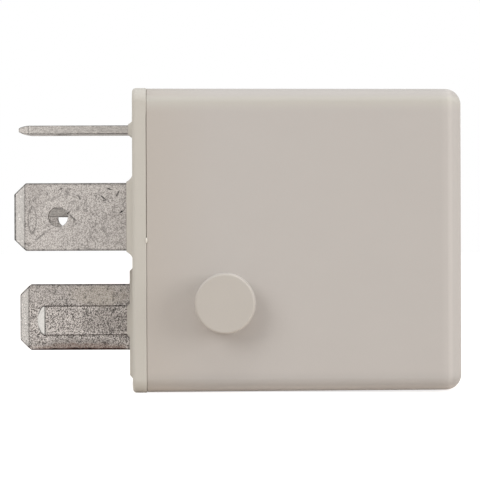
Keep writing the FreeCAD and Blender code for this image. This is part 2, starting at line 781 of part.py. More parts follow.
def collar(label):
    """Hollow-flared collar of one blade, in the blade's own frame: two flared ridges that cross."""
    body = doc.addObject("PartDesign::Body", f"collar_of_{label}")
    place(body, *BLADES[label])
    rise = "sqrt(collar_radius^2 - (collar_radius - collar_height)^2)"
    lip = f"(collar_radius - {rise})"
    across = [
        ("margin", "-sheet_half - collar_radius"),
        ("margin", "sheet_half + collar_radius"),
        ("0", "sheet_half + collar_radius", "-collar_radius"),
        ("-collar_height", f"sheet_half + {lip}"),
        ("-collar_height", f"-sheet_half - {lip}", "-collar_radius"),
        ("0", "-sheet_half - collar_radius"),
    ]
    side = new_sketch(body, "XZ_Plane", [across])
    pad(body, side, "blade_width + 2 * collar_radius", both_ways=True)
    flare = [
        ("0", "blade_half + collar_radius"),
        ("-collar_height", f"blade_half + {lip}"),
        ("-collar_height - margin", f"blade_half + {lip}"),
        ("-collar_height - margin", "blade_half + collar_radius + margin"),
        ("0", "blade_half + collar_radius + margin"),
    ]
    for sign, bend in (("", "-collar_radius"), ("-", "collar_radius")):
        waste = [(along, f"{sign}({out})") for along, out in flare]
        waste[0] += (bend,)
        pocket(body, new_sketch(body, "XY_Plane", [waste]), both_ways=True)
    return body


def blade_slot(label):
    """The slot that a blade is pressed through, as a solid to cut away."""
    slot = doc.addObject("Part::Box", f"slot_of_{label}")
    slot.setExpression("Length", bound("collar_height + deck_height + 2 * margin"))
    slot.setExpression("Width", bound("blade_width + 2 * slot_clearance"))
    slot.setExpression("Height", bound("blade_thickness + 2 * slot_clearance"))
    holder = doc.addObject("Part::Compound", f"placed_slot_of_{label}")
    slot.setExpression("Placement.Base.x", bound("-collar_height - margin"))
    slot.setExpression("Placement.Base.y", bound("-blade_half - slot_clearance"))
    slot.setExpression("Placement.Base.z", bound("-sheet_half - slot_clearance"))
    holder.Links = [slot]
    place(holder, *BLADES[label])
    return holder


def make_island(body):
    """The raised island round terminal 30 and the block before its bead, with sloping sides."""
    spread = "island_half_width + island_height"
    bottom, top = "-island_bottom - island_height", "-island_top + island_height"
    island = [rectangle(f"-({spread})", bottom, spread, top)]
    pad(body, new_sketch(body, "YZ_Plane", island), "island_height", backwards=True, draft="-45")
    foot = "(bead_block_width / 2 + bead_block_height)"
    front = "-sheet_half - bead_height - bead_block_depth - bead_block_height"
    low, high = f"row_30 - bead_offset - {foot}", f"row_30 - bead_offset + {foot}"
    block = new_sketch(body, "YZ_Plane", [rectangle(front, low, "bead_block_height", high)])
    pad(body, block, "bead_block_height", backwards=True, draft="-45")


def add_snap_lugs(body):
    """Two lugs on each of two opposite sides of the plug: a catch face, a crest and a ramp."""
    end = "snap_start + snap_length"
    crest = "plug_half + snap_height"
    root = "plug_half - skirt_wall / 2"
    above = [
        ("snap_start", root),
        (end, root),
        (end, "plug_half"),
        ("snap_start + snap_land", crest),
        ("snap_start", crest),
    ]
    below = [(along, f"-({out})") for along, out in above]
    side = new_sketch(body, "XZ_Plane", [above, below], offset="(snap_spacing - snap_width) / 2")
    pad(body, side, "snap_width")
    mirror(body, body.Tip, "XZ_Plane")


def add_yoke_rests(body):
    """Two ribs on the deck that the foot of the yoke stands on, beside the common terminal."""
    outer = "(tang_spacing + tang_width) / 2"
    rib = rectangle(f"{outer} - rest_width", "-rest_bottom", outer, "rest_top")
    pad(body, new_sketch(body, "YZ_Plane", [rib], offset="deck_height"), "tab_top - deck_height")
    mirror(body, body.Tip, "XZ_Plane")


def make_base():
    """Moulded base: flange, plug with its rim, deck, island and collars, slotted for the blades."""
    body = doc.addObject("PartDesign::Body", "base_moulding")
    flange = new_sketch(body, "YZ_Plane", [rounded_square("half_width", "long_edge")])
    pad(body, flange, "flange_thickness")
    fillet(body, "flange_edge", at_height(0.0))
    plug = [rounded_square("plug_half", "inner_edge")]
    on_flange = new_sketch(body, "YZ_Plane", plug, offset="flange_thickness")
    pad(body, on_flange, "plug_height - flange_thickness")
    chamfer(body, "plug_lead", at_height(size("plug_height")))
    room = [rounded_square("plug_half - skirt_wall", "inner_edge")]
    from_rim = new_sketch(body, "YZ_Plane", room, offset="plug_height")
    pocket(body, from_rim, "plug_height - deck_height")
    add_snap_lugs(body)
    add_yoke_rests(body)
    make_island(body)
    pry = [rectangle("-half_width - margin", "seam_gap", "-half_width + pry_width", "pry_length")]
    pocket(body, new_sketch(body, "YZ_Plane", pry, offset="flange_thickness"), "pry_depth")
    low_tang = "yoke_floor - press_clearance"
    high_tang = "yoke_floor + yoke_thickness + press_clearance"
    near = "(tang_spacing - tang_width) / 2 - press_clearance"
    far = "(tang_spacing + tang_width) / 2 + press_clearance"
    tangs = [
        rectangle(near, low_tang, far, high_tang),
        rectangle(f"-({far})", low_tang, f"-({near})", high_tang),
    ]
    depth = "tang_length - tab_gap - blade_thickness + press_clearance"
    pocket(body, new_sketch(body, "YZ_Plane", tangs, offset="deck_height"), depth)
    fused = boolean("Fuse", "base_with_collars", body, [collar(label) for label in BLADES])
    base = boolean("Cut", "base", fused, [blade_slot(label) for label in BLADES])
    base.Label = "base"
    return base


# ---------------------------------------------------------------- magnet

YOKE_RIVETS = ("hinge_x - yoke_rivet_setback - yoke_rivet_pitch", "hinge_x - yoke_rivet_setback")


def make_yoke():
    """L of iron sheet: foot under the coil, leg along it, tangs into the base, ears at the hinge."""
    body = new_body("yoke", ("tab_top", "0", "yoke_floor"))
    leg = "pole_face - tab_top"
    side = [
        ("yoke_corner", "0"),
        (leg, "0"),
        (leg, "yoke_thickness"),
        ("yoke_corner", "yoke_thickness", "-yoke_bend"),
        ("yoke_thickness", "yoke_corner"),
        ("yoke_thickness", "yoke_foot"),
        ("0", "yoke_foot"),
        ("0", "yoke_corner", "yoke_corner"),
    ]
    pad(body, new_sketch(body, "XZ_Plane", [side]), "yoke_width", both_ways=True)
    near = "(tang_spacing - tang_width) / 2"
    far = "(tang_spacing + tang_width) / 2"
    tangs = [
        rectangle("-tang_length", near, "yoke_corner", far),
        rectangle("-tang_length", f"-({far})", "yoke_corner", f"-({near})"),
    ]
    pad(body, new_sketch(body, "XY_Plane", tangs), "yoke_thickness")
    edge = "yoke_width / 2"
    ear = rectangle(f"{leg} - ear_width", f"{edge} - ear_width", f"{leg} + ear_height", edge)
    pad(body, new_sketch(body, "XY_Plane", [ear]), "yoke_thickness")
    mirror(body, body.Tip, "XZ_Plane")
    seat = ("0", "core_axis - yoke_floor", "core_neck / 2 + press_clearance")
    pocket(body, new_sketch(body, "YZ_Plane", circles=[seat]), both_ways=True)
    holes = [(f"{x} - tab_top", "0", "rivet_hole") for x in YOKE_RIVETS]
    pocket(body, new_sketch(body, "XY_Plane", circles=holes), both_ways=True)
    end = size("yoke_foot")
    fillet(body, "2 * yoke_thickness", lambda box: at_height(end, "Z")(box) and box.YLength < 1e-4)
    return body


def make_core():
    """Turned iron core: staked end, neck, shank and pole head."""
    body = new_body("core", ("tab_top", "0", "core_axis"))
    pole_under = "bobbin_top - tab_top"
    face = "pole_face - tab_top"
    half_outline = [
        ("-core_upset_height", "0"),
        ("-core_upset_height", "core_upset / 2 - core_upset_height"),
        ("0", "core_upset / 2"),
        ("0", "core_neck / 2"),
        ("yoke_thickness", "core_neck / 2"),
        ("yoke_thickness", "core_diameter / 2"),
        (pole_under, "core_diameter / 2"),
        (pole_under, "pole_diameter / 2"),
        (f"{face} - pole_chamfer", "pole_diameter / 2"),
        (face, "pole_diameter / 2 - pole_chamfer"),
        (face, "0"),
    ]
    revolve(body, half_outline[::-1])
    return body


def make_bobbin():
    """Moulded spool: tube between two square flanges, the lower one slotted for the wire."""
    body = new_body("bobbin", ("foot_top", "0", "core_axis"))
    plate = [rounded_square("bobbin_flange / 2", "bobbin_corner")]
    pad(body, new_sketch(body, "YZ_Plane", plate), "bobbin_flange_thickness")
    far = "bobbin_length - bobbin_flange_thickness"
    tube = [("0", "0", "bobbin_bore_radius + bobbin_wall")]
    pad(body, new_sketch(body, "YZ_Plane", circles=tube), far)
    pad(body, new_sketch(body, "YZ_Plane", plate, offset=far), "bobbin_flange_thickness")
    bore = [("0", "0", "bobbin_bore_radius")]
    pocket(body, new_sketch(body, "YZ_Plane", circles=bore), both_ways=True)
    outside, inside = "-bobbin_flange / 2 - margin", "-bobbin_bore_radius - bobbin_wall"
    slot = [rectangle(outside, "-wire_slot / 2", inside, "wire_slot / 2")]
    pocket(body, new_sketch(body, "YZ_Plane", slot), "bobbin_flange_thickness", backwards=True)
    return body


def make_winding():
    """Enamelled wire, wound full, as one sleeve between the flanges."""
    body = new_body("winding", ("foot_top", "0", "core_axis"))
    start = "bobbin_flange_thickness + winding_end_gap"
    end = "bobbin_length - bobbin_flange_thickness - winding_end_gap"
    inner = "bobbin_bore_radius + bobbin_wall + winding_end_gap / 2"
    outer = "winding_diameter / 2"
    revolve(body, [
        (start, inner),
        (end, inner),
        (end, f"{outer} - lead_wire"),
        (f"{end} - lead_wire", outer),
        (f"{start} + lead_wire", outer),
        (start, f"{outer} - lead_wire"),
    ])
    return body


# ---------------------------------------------------------------- armature, spring and contacts

HINGE = ("hinge_x", "0", "hinge_z")
RELEASED = (Vector(0, 1, 0), "open_angle")


def make_armature():
    """Iron clapper, drawn in the frame of the hinge: x away from the pole, z towards the contacts."""
    body = new_body("armature", HINGE, RELEASED)
    wide, narrow = "armature_width / 2", "armature_nose / 2"
    between = "(yoke_width / 2 - ear_width - ear_clearance)"
    notch = "yoke_thickness + 2 * ear_clearance"
    plan = [
        (f"-{between}", "0"),
        (between, "0"),
        (between, notch),
        (wide, notch),
        (wide, "armature_taper"),
        (narrow, "armature_length - armature_corner"),
        (f"{narrow} - armature_corner", "armature_length"),
        (f"-({narrow} - armature_corner)", "armature_length"),
        (f"-{narrow}", "armature_length - armature_corner"),
        (f"-{wide}", "armature_taper"),
        (f"-{wide}", notch),
        (f"-{between}", notch),
    ]
    pad(body, new_sketch(body, "YZ_Plane", [plan], offset="residual_gap"), "armature_thickness")
    holes = [
        (f"{side}armature_rivet_spacing / 2", "armature_rivet_setback", "rivet_hole")
        for side in ("", "-")
    ]
    pocket(body, new_sketch(body, "YZ_Plane", circles=holes), both_ways=True)
    return body


def released(x, z):
    """A point given in the hinge's frame, where it lies with the armature released."""
    angle = math.radians(size("open_angle"))
    lifted = x * math.cos(angle) + z * math.sin(angle)
    along = z * math.cos(angle) - x * math.sin(angle)
    return Vector(size("hinge_x") + lifted, 0, size("hinge_z") + along)


def spring_strip():
    """The leaf before it is cut: flat on the yoke leg, looped round the hinge, flat on the
    armature."""
    middle = size("spring_thickness") / 2
    floor = size("hinge_z") - middle
    over = size("armature_top") + middle
    bulge = size("loop_bulge")
    landing = size("armature_rivet_setback - rivet_head / 2 - spring_thickness")
    tip = size("contact_setback + moving_contact_diameter / 2 + spring_tip")
    route = [
        Vector(size("hinge_x - spring_foot"), 0, floor),
        Vector(size("hinge_x - loop_start"), 0, floor),
        Vector(size("hinge_x - loop_turn"), 0, floor - bulge),
        released(over + size("loop_rise"), -bulge),
        released(over, landing),
        released(over, tip),
    ]
    crown = size("loop_crown")
    path = rounded_path(route, [size("loop_ease"), size("loop_corner"), crown, crown])
    left = path.makeOffset2D(middle, fill=False, openResult=False)
    right = path.makeOffset2D(-middle, fill=False, openResult=False)
    ends = [
        Part.LineSegment(left.OrderedVertexes[i].Point, right.OrderedVertexes[i].Point).toShape()
        for i in (0, -1)
    ]
    outline = Part.Wire(Part.__sortEdges__(left.Edges + right.Edges + ends))
    width = size("spring_width")
    strip = Part.Face(outline).extrude(Vector(0, width, 0))
    strip.translate(Vector(0, -width / 2, 0))
    return strip


def cylinder_along(axis, centre, radius, length):
    """A cylinder of a length, half each side of its centre."""
    return Part.makeCylinder(radius, length, centre - axis * (length / 2), axis)


def on_armature(shape):
    """Carry a shape from the hinge's frame to where the released armature lies."""
    hinge = Vector(size("hinge_x"), 0, size("hinge_z"))
    turn = FreeCAD.Placement(hinge, Rotation(Vector(0, 1, 0), size("open_angle")))
    shape.Placement = turn.multiply(shape.Placement)
    return shape


def beside_nose(side):
    """What goes from one side of the leaf, so that it narrows towards the contact."""
    outside, edge, nose = (
        side * size(text)
        for text in ("spring_width / 2 + margin", "spring_width / 2", "spring_nose / 2")
    )
    taper, beyond = size("spring_taper"), size("housing_width")
    shoulder = size("armature_length - armature_corner")
    profile = Part.makePolygon([
        Vector(0, outside, taper),
        Vector(0, edge, taper),
        Vector(0, nose, shoulder),
        Vector(0, nose, beyond),
        Vector(0, outside, beyond),
        Vector(0, outside, taper),
    ])
    block = Part.Face(profile).extrude(Vector(size("housing_length"), 0, 0))
    block.translate(Vector(-size("pole_thickness"), 0, 0))
    return on_armature(block)


def spring_window():
    """What goes from between the two loops of the leaf."""
    corner = Vector(
        size("hinge_x - window_reach"),
        -size("spring_window") / 2,
        size("hinge_z - yoke_thickness"),
    )
    height = size("yoke_thickness + window_top")
    return Part.makeBox(size("housing_length"), size("spring_window"), height, corner)


def make_contact_spring():
    """One bronze leaf that carries the moving contact and pushes the armature open."""
    along, up = Vector(1, 0, 0), Vector(0, 0, 1)
    hole = size("rivet_hole")
    deep = 4 * size("spring_thickness")
    leaf = size("armature_top + spring_thickness / 2")
    waste = [beside_nose(1), beside_nose(-1), spring_window()]
    for side in (1, -1):
        across = side * size("armature_rivet_spacing") / 2
        spot = Vector(leaf, across, size("armature_rivet_setback"))
        waste.append(on_armature(cylinder_along(along, spot, hole, deep)))
    spot = Vector(leaf, 0, size("contact_setback"))
    contact_hole = size("contact_shank / 2 + rivet_clearance")
    waste.append(on_armature(cylinder_along(along, spot, contact_hole, deep)))
    for x in YOKE_RIVETS:
        spot = Vector(size(x), 0, size("hinge_z"))
        waste.append(cylinder_along(up, spot, hole, deep))
    feature = doc.addObject("Part::Feature", "contact_spring")
    feature.Shape = spring_strip().cut(waste).Solids[0]
    feature.Label = "contact_spring"
    return feature


def rivet_outline(grip):
    """Half outline of a set rivet along x: low head, shank through the grip, formed head."""
    head, inner = "rivet_head / 2", "rivet_head / 2 - rivet_head_height"
    return [
        (f"{grip} + rivet_head_height", "0"),
        (f"{grip} + rivet_head_height", inner),
        (f"{grip} + rivet_rim", head),
        (grip, head),
        (grip, "rivet_shank / 2"),
        ("0", "rivet_shank / 2"),
        ("0", head),
        ("-rivet_rim", head),
        ("-rivet_head_height", inner),
        ("-rivet_head_height", "0"),
    ]


def group(label, members):
    """Separate solids that share one node."""
    joined = doc.addObject("Part::Compound", label)
    joined.Label = label
    joined.Links = members
    return joined


def make_yoke_rivets():
    """Two rivets through the leaf and the leg of the yoke."""
    members = []
    for number, x in enumerate(YOKE_RIVETS, start=1):
        rivet = doc.addObject("PartDesign::Body", f"yoke_rivet_{number}")
        place(rivet, (x, "0", "hinge_z - spring_thickness"), (Vector(0, 1, 0), "-90"))
        revolve(rivet, rivet_outline("(yoke_thickness + spring_thickness)"))
        members.append(rivet)
    return group("yoke_rivets", members)


def make_armature_rivets():
    """Two rivets through the armature and the leaf, clear of the pole head."""
    members = []
    for number, side in enumerate(("", "-"), start=1):
        rivet = doc.addObject("PartDesign::Body", f"armature_rivet_{number}")
        across = f"{side}armature_rivet_spacing / 2"
        turn_about_hinge(rivet, "residual_gap", across, "armature_rivet_setback")
        revolve(rivet, rivet_outline("(armature_thickness + spring_thickness)"))
        members.append(rivet)
    return group("armature_rivets", members)


def turn_about_hinge(thing, x, y, z):
    """Place a thing at a spot of the hinge's frame, with the armature released."""
    at = (
        f"hinge_x + ({x}) * cos(open_angle) + ({z}) * sin(open_angle)",
        y,
        f"hinge_z + ({z}) * cos(open_angle) - ({x}) * sin(open_angle)",
    )
    place(thing, at, RELEASED)


def make_moving_contact():
    """Double-headed contact rivet at the free end of the leaf, both faces crowned."""
    body = doc.addObject("PartDesign::Body", "moving_contact")
    body.Label = "moving_contact"
    turn_about_hinge(body, "armature_top", "0", "contact_setback")
    face = "moving_contact_diameter / 2"
    crown = f"(({face})^2 + contact_crown^2) / (2 * contact_crown)"
    upper = "spring_thickness + moving_head_upper"
    revolve(body, [
        ("-moving_head_lower", "0", f"-({crown})"),
        ("-moving_head_lower + contact_crown", face),
        ("0", face),
        ("0", "contact_shank / 2"),
        ("spring_thickness", "contact_shank / 2"),
        ("spring_thickness", face),
        (f"{upper} - contact_crown", face, f"-({crown})"),
        (upper, "0"),
    ])
    return body


def make_fixed_contact(label, at, turn):
    """Contact rivet: crowned face at x = 0, head behind it, shank through the arm, tail."""
    body = new_body(label, at, turn)
    face = "fixed_contact_diameter / 2"
    crown = f"(({face})^2 + contact_crown^2) / (2 * contact_crown)"
    back = "fixed_head + blade_thickness"
    revolve(body, [
        ("0", "0", f"-({crown})"),
        ("contact_crown", face),
        ("fixed_head", face),
        ("fixed_head", "contact_shank / 2"),
        (back, "contact_shank / 2"),
        (back, "contact_tail / 2"),
        (f"{back} + contact_tail_height", "contact_tail / 2 - contact_tail_height"),
        (f"{back} + contact_tail_height", "0"),
    ])
    return body


# ---------------------------------------------------------------- resistor and wiring


def make_resistor():
    """Suppression resistor: waisted body across the coil, its axis along y."""
    body = new_body("resistor_body", ("resistor_x", "0", "resistor_z"))
    half, middle = "resistor_length / 2", "resistor_waist_half"
    cap, waist = "resistor_cap / 2", "resistor_waist / 2"
    revolve(body, [
        ("0", f"-{half}"),
        (f"{cap} - resistor_round", f"-{half}"),
        (cap, f"-{half} + resistor_round"),
        (cap, f"-{middle} - resistor_step"),
        (waist, f"-{middle}"),
        (waist, middle),
        (cap, f"{middle} + resistor_step"),
        (cap, f"{half} - resistor_round"),
        (f"{cap} - resistor_round", half),
        ("0", half),
    ], axis="V_Axis")
    return body


def wire(points, bends, thickness):
    """A round wire along a path with rounded corners."""
    path = rounded_path(points, bends)
    start = points[0]
    along = (points[1] - start).normalize()
    ring = Part.Wire(Part.makeCircle(thickness / 2, start, along))
    return path.makePipeShell([ring], True, True)


def mirrored(shape):
    """The same shape on the other side of the middle plane."""
    return shape.mirror(Vector(0, 0, 0), Vector(0, 1, 0))


def make_resistor_leads():
    """Two leads, bent down on to the solder tags."""
    thick = size("resistor_lead")
    x, z = size("resistor_x"), size("resistor_z")
    beside = size("coil_spacing / 2 - sheet_half - press_clearance") - thick / 2
    down = size("row_coil - tag_width / 4")
    points = [
        Vector(x, size("resistor_length") / 2, z),
        Vector(x, beside, z),
        Vector(x, beside, down),
    ]
    lead = wire(points, [size("resistor_lead_bend")], thick)
    feature = doc.addObject("Part::Feature", "resistor_leads")
    feature.Shape = Part.makeCompound([lead, mirrored(lead)])
    feature.Label = "resistor_leads"
    return feature


def make_coil_lead(label, x, side):
    """A coil end: out of the winding beside one flange, across to the solder tag."""
    thick, tail = size("lead_wire"), size("lead_tail")
    radius = size("winding_diameter / 2 + lead_wire / 2")
    slope = math.radians(size("lead_slope"))
    outward = Vector(0, math.cos(slope), math.sin(slope))
    onward = Vector(0, math.sin(slope), -math.cos(slope))
    leaving = Vector(x, 0, size("core_axis")) + outward * radius
    beside = size("coil_spacing / 2 - sheet_half - press_clearance - lead_wire / 2")
    low = size("row_coil - tag_width / 4 - lead_wire")
    points = [
        leaving - onward * tail,
        leaving + onward * thick,
        Vector(x, beside - 2 * thick, size("row_coil - lead_wire")),
        Vector(x, beside, low),
        Vector(x + tail, beside, low),
    ]
    lead = wire(points, [2 * thick, thick, thick], thick)
    feature = doc.addObject("Part::Feature", label)
    feature.Shape = lead if side > 0 else mirrored(lead)
    feature.Label = label
    return feature


def make_solder_joints(around):
    """A blob where each resistor lead lies on its tag, cut to fit the lead and the tag."""
    blobs = []
    for side in ("", "-"):
        blob = doc.addObject("Part::Ellipsoid", "solder_blob")
        blob.setExpression("Radius1", bound("solder_depth"))
        blob.setExpression("Radius2", bound("solder_blob / 2"))
        blob.setExpression("Radius3", bound("solder_blob / 2"))
        blob.Placement = FreeCAD.Placement(Vector(0, 0, 0), Rotation(Vector(1, 0, 0), 90))
        place(blob, ("resistor_x", f"{side}(coil_spacing / 2 - sheet_half)", "row_coil"))
        blobs.append(blob)
    return boolean("Cut", "solder_joints", group("solder_blobs", blobs), around)


# ---------------------------------------------------------------- assembly


def build_parts():
    """Make every sub-part, in the order in which the relay goes together."""
    terminals = [
        make_terminal_30(),
        coil_terminal("terminal_85"),
        coil_terminal("terminal_86"),
        make_terminal_87(),
        make_terminal_87a(),
    ]
    magnet = [make_yoke(), make_core(), make_bobbin(), make_winding()]
    resistor = [make_resistor(), make_resistor_leads()]
    low = size("foot_top + bobbin_flange_thickness + lead_wire")
    leads = [
        make_coil_lead("coil_lead_start", low, -1),
        make_coil_lead("coil_lead_finish", low + size("lead_wire"), 1),
    ]
    solder = make_solder_joints([terminals[1], terminals[2], resistor[1]])
    moving = [
        make_armature(),
        make_contact_spring(),
        make_yoke_rivets(),
        make_armature_rivets(),
        make_moving_contact(),
    ]
    no_at = ("no_face", "0", "contact_row")
    nc_at = ("nc_face", "0", "contact_row")
    fixed = [
        make_fixed_contact("fixed_contact_no", no_at, (Vector(0, 1, 0), "180")),
        make_fixed_contact("fixed_contact_nc", nc_at, None),
    ]
    housing = [make_base(), make_cover()]
    return housing + terminals + magnet + resistor + leads + [solder] + moving + fixed


def write_parts(parts):
    """Check the whole document, then write one file for each sub-part."""
    doc.recompute()
    for thing in doc.Objects:
        if "Invalid" in thing.State or "Error" in thing.State:
            raise RuntimeError(f"{thing.Label} failed: {thing.State}")
    for part in parts:
        if part.Shape.isNull() or not part.Shape.isValid():
            raise RuntimeError(f"{part.Label} has no valid shape")
    os.makedirs("parts", exist_ok=True)
    for part in parts:
        part.Shape.exportStep(f"parts/{part.Label}.step")
        print(part.Label, len(part.Shape.Solids), round(part.Shape.Volume, 3))


write_parts(build_parts())
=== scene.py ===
"""The looks of a five-blade plug-in relay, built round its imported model.

Every length is in metres. +X runs from the blades to the closed end of the cover, the seating
plane is at X = 0, +Z is up, and the keying stud faces -Y.
"""
import logging
import math
from dataclasses import dataclass
from enum import Enum
from typing import Any, Callable, Optional, Sequence, Union

import bmesh
import bpy
import numpy as np
from mathutils import Matrix, Vector


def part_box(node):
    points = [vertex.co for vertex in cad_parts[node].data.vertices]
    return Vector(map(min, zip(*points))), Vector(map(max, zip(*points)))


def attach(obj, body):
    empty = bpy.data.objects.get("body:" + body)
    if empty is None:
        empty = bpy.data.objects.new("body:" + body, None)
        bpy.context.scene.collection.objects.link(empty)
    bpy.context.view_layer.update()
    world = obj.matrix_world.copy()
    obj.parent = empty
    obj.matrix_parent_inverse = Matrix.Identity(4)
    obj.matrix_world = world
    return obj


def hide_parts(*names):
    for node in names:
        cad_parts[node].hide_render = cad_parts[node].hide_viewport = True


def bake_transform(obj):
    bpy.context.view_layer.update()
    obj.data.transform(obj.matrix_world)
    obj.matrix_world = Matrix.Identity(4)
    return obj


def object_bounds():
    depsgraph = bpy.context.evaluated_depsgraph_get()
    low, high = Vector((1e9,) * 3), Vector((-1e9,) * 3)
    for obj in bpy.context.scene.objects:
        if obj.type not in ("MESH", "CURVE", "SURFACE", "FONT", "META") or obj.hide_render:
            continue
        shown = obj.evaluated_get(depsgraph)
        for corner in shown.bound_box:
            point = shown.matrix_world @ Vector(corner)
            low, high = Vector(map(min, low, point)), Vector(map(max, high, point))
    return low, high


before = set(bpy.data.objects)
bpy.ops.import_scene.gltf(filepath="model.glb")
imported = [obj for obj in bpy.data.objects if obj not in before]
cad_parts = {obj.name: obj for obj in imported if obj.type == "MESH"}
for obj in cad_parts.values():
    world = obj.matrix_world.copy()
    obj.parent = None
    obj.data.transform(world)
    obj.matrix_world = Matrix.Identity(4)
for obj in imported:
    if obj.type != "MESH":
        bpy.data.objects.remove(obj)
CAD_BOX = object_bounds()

MM = 0.001
Points = np.ndarray
Pair = tuple[float, float]
Triple = tuple[float, float, float]
Colour = Triple
Key = Union[str, int]
Values = Optional[dict[Key, Any]]
Piece = bpy.types.Object
Material = bpy.types.Material
HALF_BLADE = 3.15 * MM  # half the width of each blade
log = logging.getLogger("relay")


def srgb(red: int, green: int, blue: int) -> Colour:
    """Linear colour of three display values.

    Args:
        red, green, blue: the values, from 0 to 255.

    Returns:
        The colour.
    """
    share = np.array([red, green, blue]) / 255
    linear = np.where(share <= 0.04045, share / 12.92, ((share + 0.055) / 1.055) ** 2.4)
    return tuple(float(value) for value in linear)


# -------------------- shader expressions


def _operator(operation: str, reflected: bool = False) -> Callable[["Signal", Any], "Signal"]:
    """A method of Signal that adds one Math node.

    Args:
        operation: the node's operation.
        reflected: whether the other term comes first.

    Returns:
        The method.
    """

    def method(signal: "Signal", other: Any) -> "Signal":
        """The operation on the signal and the other term."""
        terms = (other, signal) if reflected else (signal, other)
        return signal.nodes.maths(operation, *terms)

    return method


class Signal:
    """The output of a shader node, which takes part in Python expressions."""

    def __init__(self, nodes: "Nodes", socket: bpy.types.NodeSocket) -> None:
        """Wrap a socket of a node tree."""
        self.nodes = nodes
        self.socket = socket

    __add__, __radd__ = _operator("ADD"), _operator("ADD", reflected=True)
    __sub__, __rsub__ = _operator("SUBTRACT"), _operator("SUBTRACT", reflected=True)
    __mul__, __rmul__ = _operator("MULTIPLY"), _operator("MULTIPLY", reflected=True)
    __truediv__, __pow__ = _operator("DIVIDE"), _operator("POWER")

    def __abs__(self) -> "Signal":
        """abs(self)."""
        return self.nodes.maths("ABSOLUTE", self)

    def ease(self, start: float, end: float) -> "Signal":
        """A smooth step.

        Args:
            start, end: the values where it is 0 and 1, whichever of them is larger.

        Returns:
            The step, level outside the two.
        """
        settings = {"interpolation_type": "SMOOTHSTEP", "clamp": True}
        rising = float(start < end)
        inputs = {"Value": self, "From Min": min(start, end), "From Max": max(start, end)}
        inputs |= {"To Min": 1 - rising, "To Max": rising}
        return self.nodes.node("ShaderNodeMapRange", settings, inputs)


class Nodes:
    """A node tree under construction."""

    def __init__(self, tree: bpy.types.NodeTree) -> None:
        """Add to that tree."""
        self.tree = tree

    def node(
        self, kind: str, settings: Values = None, inputs: Values = None, output: Key = 0
    ) -> Signal:
        """Add any node.

        Args:
            kind: the node's type.
            settings: its own properties, set before its sockets.
            inputs: a value or a Signal for each socket, by name or number.
            output: the socket that is returned.

        Returns:
            The chosen output.
        """
        made = self.tree.nodes.new(kind)
        for key, value in (settings or {}).items():
            setattr(made, key, value)
        for key, value in (inputs or {}).items():
            self.feed(made.inputs[key], value)
        return Signal(self, made.outputs[output])

    def maths(self, operation: str, *terms: Any) -> Signal:
        """One Math node on these terms."""
        return self.node("ShaderNodeMath", {"operation": operation}, dict(enumerate(terms)))

    def feed(self, socket: bpy.types.NodeSocket, value: Any) -> None:
        """Link or set one socket.

        Args:
            socket: the input.
            value: a Signal to link, or a number, vector or colour to set.
        """
        if isinstance(value, Signal):
            self.tree.links.new(value.socket, socket)
        elif isinstance(value, tuple) and socket.type == "RGBA":
            socket.default_value = (*value, 1.0)
        else:
            socket.default_value = value

    def seen(self) -> Signal:
        """1 on rays from the camera and from a gloss, 0 on the others."""
        rays = ("Is Camera Ray", "Is Glossy Ray")
        return self.maths("MAXIMUM", *(self.node("ShaderNodeLightPath", output=r) for r in rays))


class Shader(Nodes):
    """A material under construction: one Principled surface and the nodes that feed it."""

    def __init__(self, name: str) -> None:
        """Start a material.

        Args:
            name: its name.
        """
        self.material = bpy.data.materials.new(name)
        self.material.use_nodes = True
        super().__init__(self.material.node_tree)
        self.surface = self.tree.nodes["Principled BSDF"]
        self.place = self.node("ShaderNodeTexCoord", output="Object")

    def axis(self, name: str, source: Optional[Signal] = None) -> Signal:
        """One coordinate, X, Y or Z, of a vector; the object's own place if none is given."""
        return self.node("ShaderNodeSeparateXYZ", inputs={0: source or self.place}, output=name)

    def facing(self, name: str) -> Signal:
        """One coordinate of the direction that the surface faces."""
        return self.axis(name, self.node("ShaderNodeNewGeometry", output="Normal"))

    def spread(self, scale: Sequence[float]) -> Signal:
        """The object's own place, multiplied along each axis."""
        return self.node("ShaderNodeMapping", inputs={"Vector": self.place, "Scale": tuple(scale)})

    def noise(
        self, size: float, detail: float = 2.0, stretch: Sequence[float] = (1, 1, 1)
    ) -> Signal:
        """Cloudy noise from 0 to 1.

        Args:
            size: width of its largest lumps.
            detail: how many finer octaves lie on them.
            stretch: how much longer the lumps are along each axis.

        Returns:
            The noise.
        """
        vector = self.spread([1 / (size * s) for s in stretch])
        inputs = {"Vector": vector, "Scale": 1.0, "Detail": detail}
        return self.node("ShaderNodeTexNoise", inputs=inputs)

    def cells(self, size: float) -> Signal:
        """Distance to the nearest of scattered points that lie about size apart."""
        vector = self.spread([1 / size] * 3)
        return self.node("ShaderNodeTexVoronoi", inputs={"Vector": vector, "Scale": 1.0})

    def mix(self, share: Any, first: Any, second: Any) -> Signal:
        """A colour between two: the first where share is 0, the second where it is 1."""
        inputs = {"Factor": share, 6: first, 7: second}  # 6 and 7 are the colours A and B
        return self.node("ShaderNodeMix", {"data_type": "RGBA"}, inputs, output=2)

    def shade(self, colour: Any, amount: Signal) -> Signal:
        """A colour made lighter or darker all over by a factor."""
        inputs = {0: colour, "Scale": amount}
        return self.node("ShaderNodeVectorMath", {"operation": "SCALE"}, inputs)

    def bump(self, height: Signal, depth: float) -> Signal:
        """A surface normal from a height, where 1 stands out by depth."""
        return self.node("ShaderNodeBump", inputs={"Height": height, "Distance": depth})

    def finish(self, **sockets: Any) -> Material:
        """Feed the surface.

        Args:
            sockets: a value or a Signal for each, named with underscores for spaces.

        Returns:
            The material.
        """
        for name, value in sockets.items():
            self.feed(self.surface.inputs[name.replace("_", " ")], value)
        return self.material


# -------------------- finishes


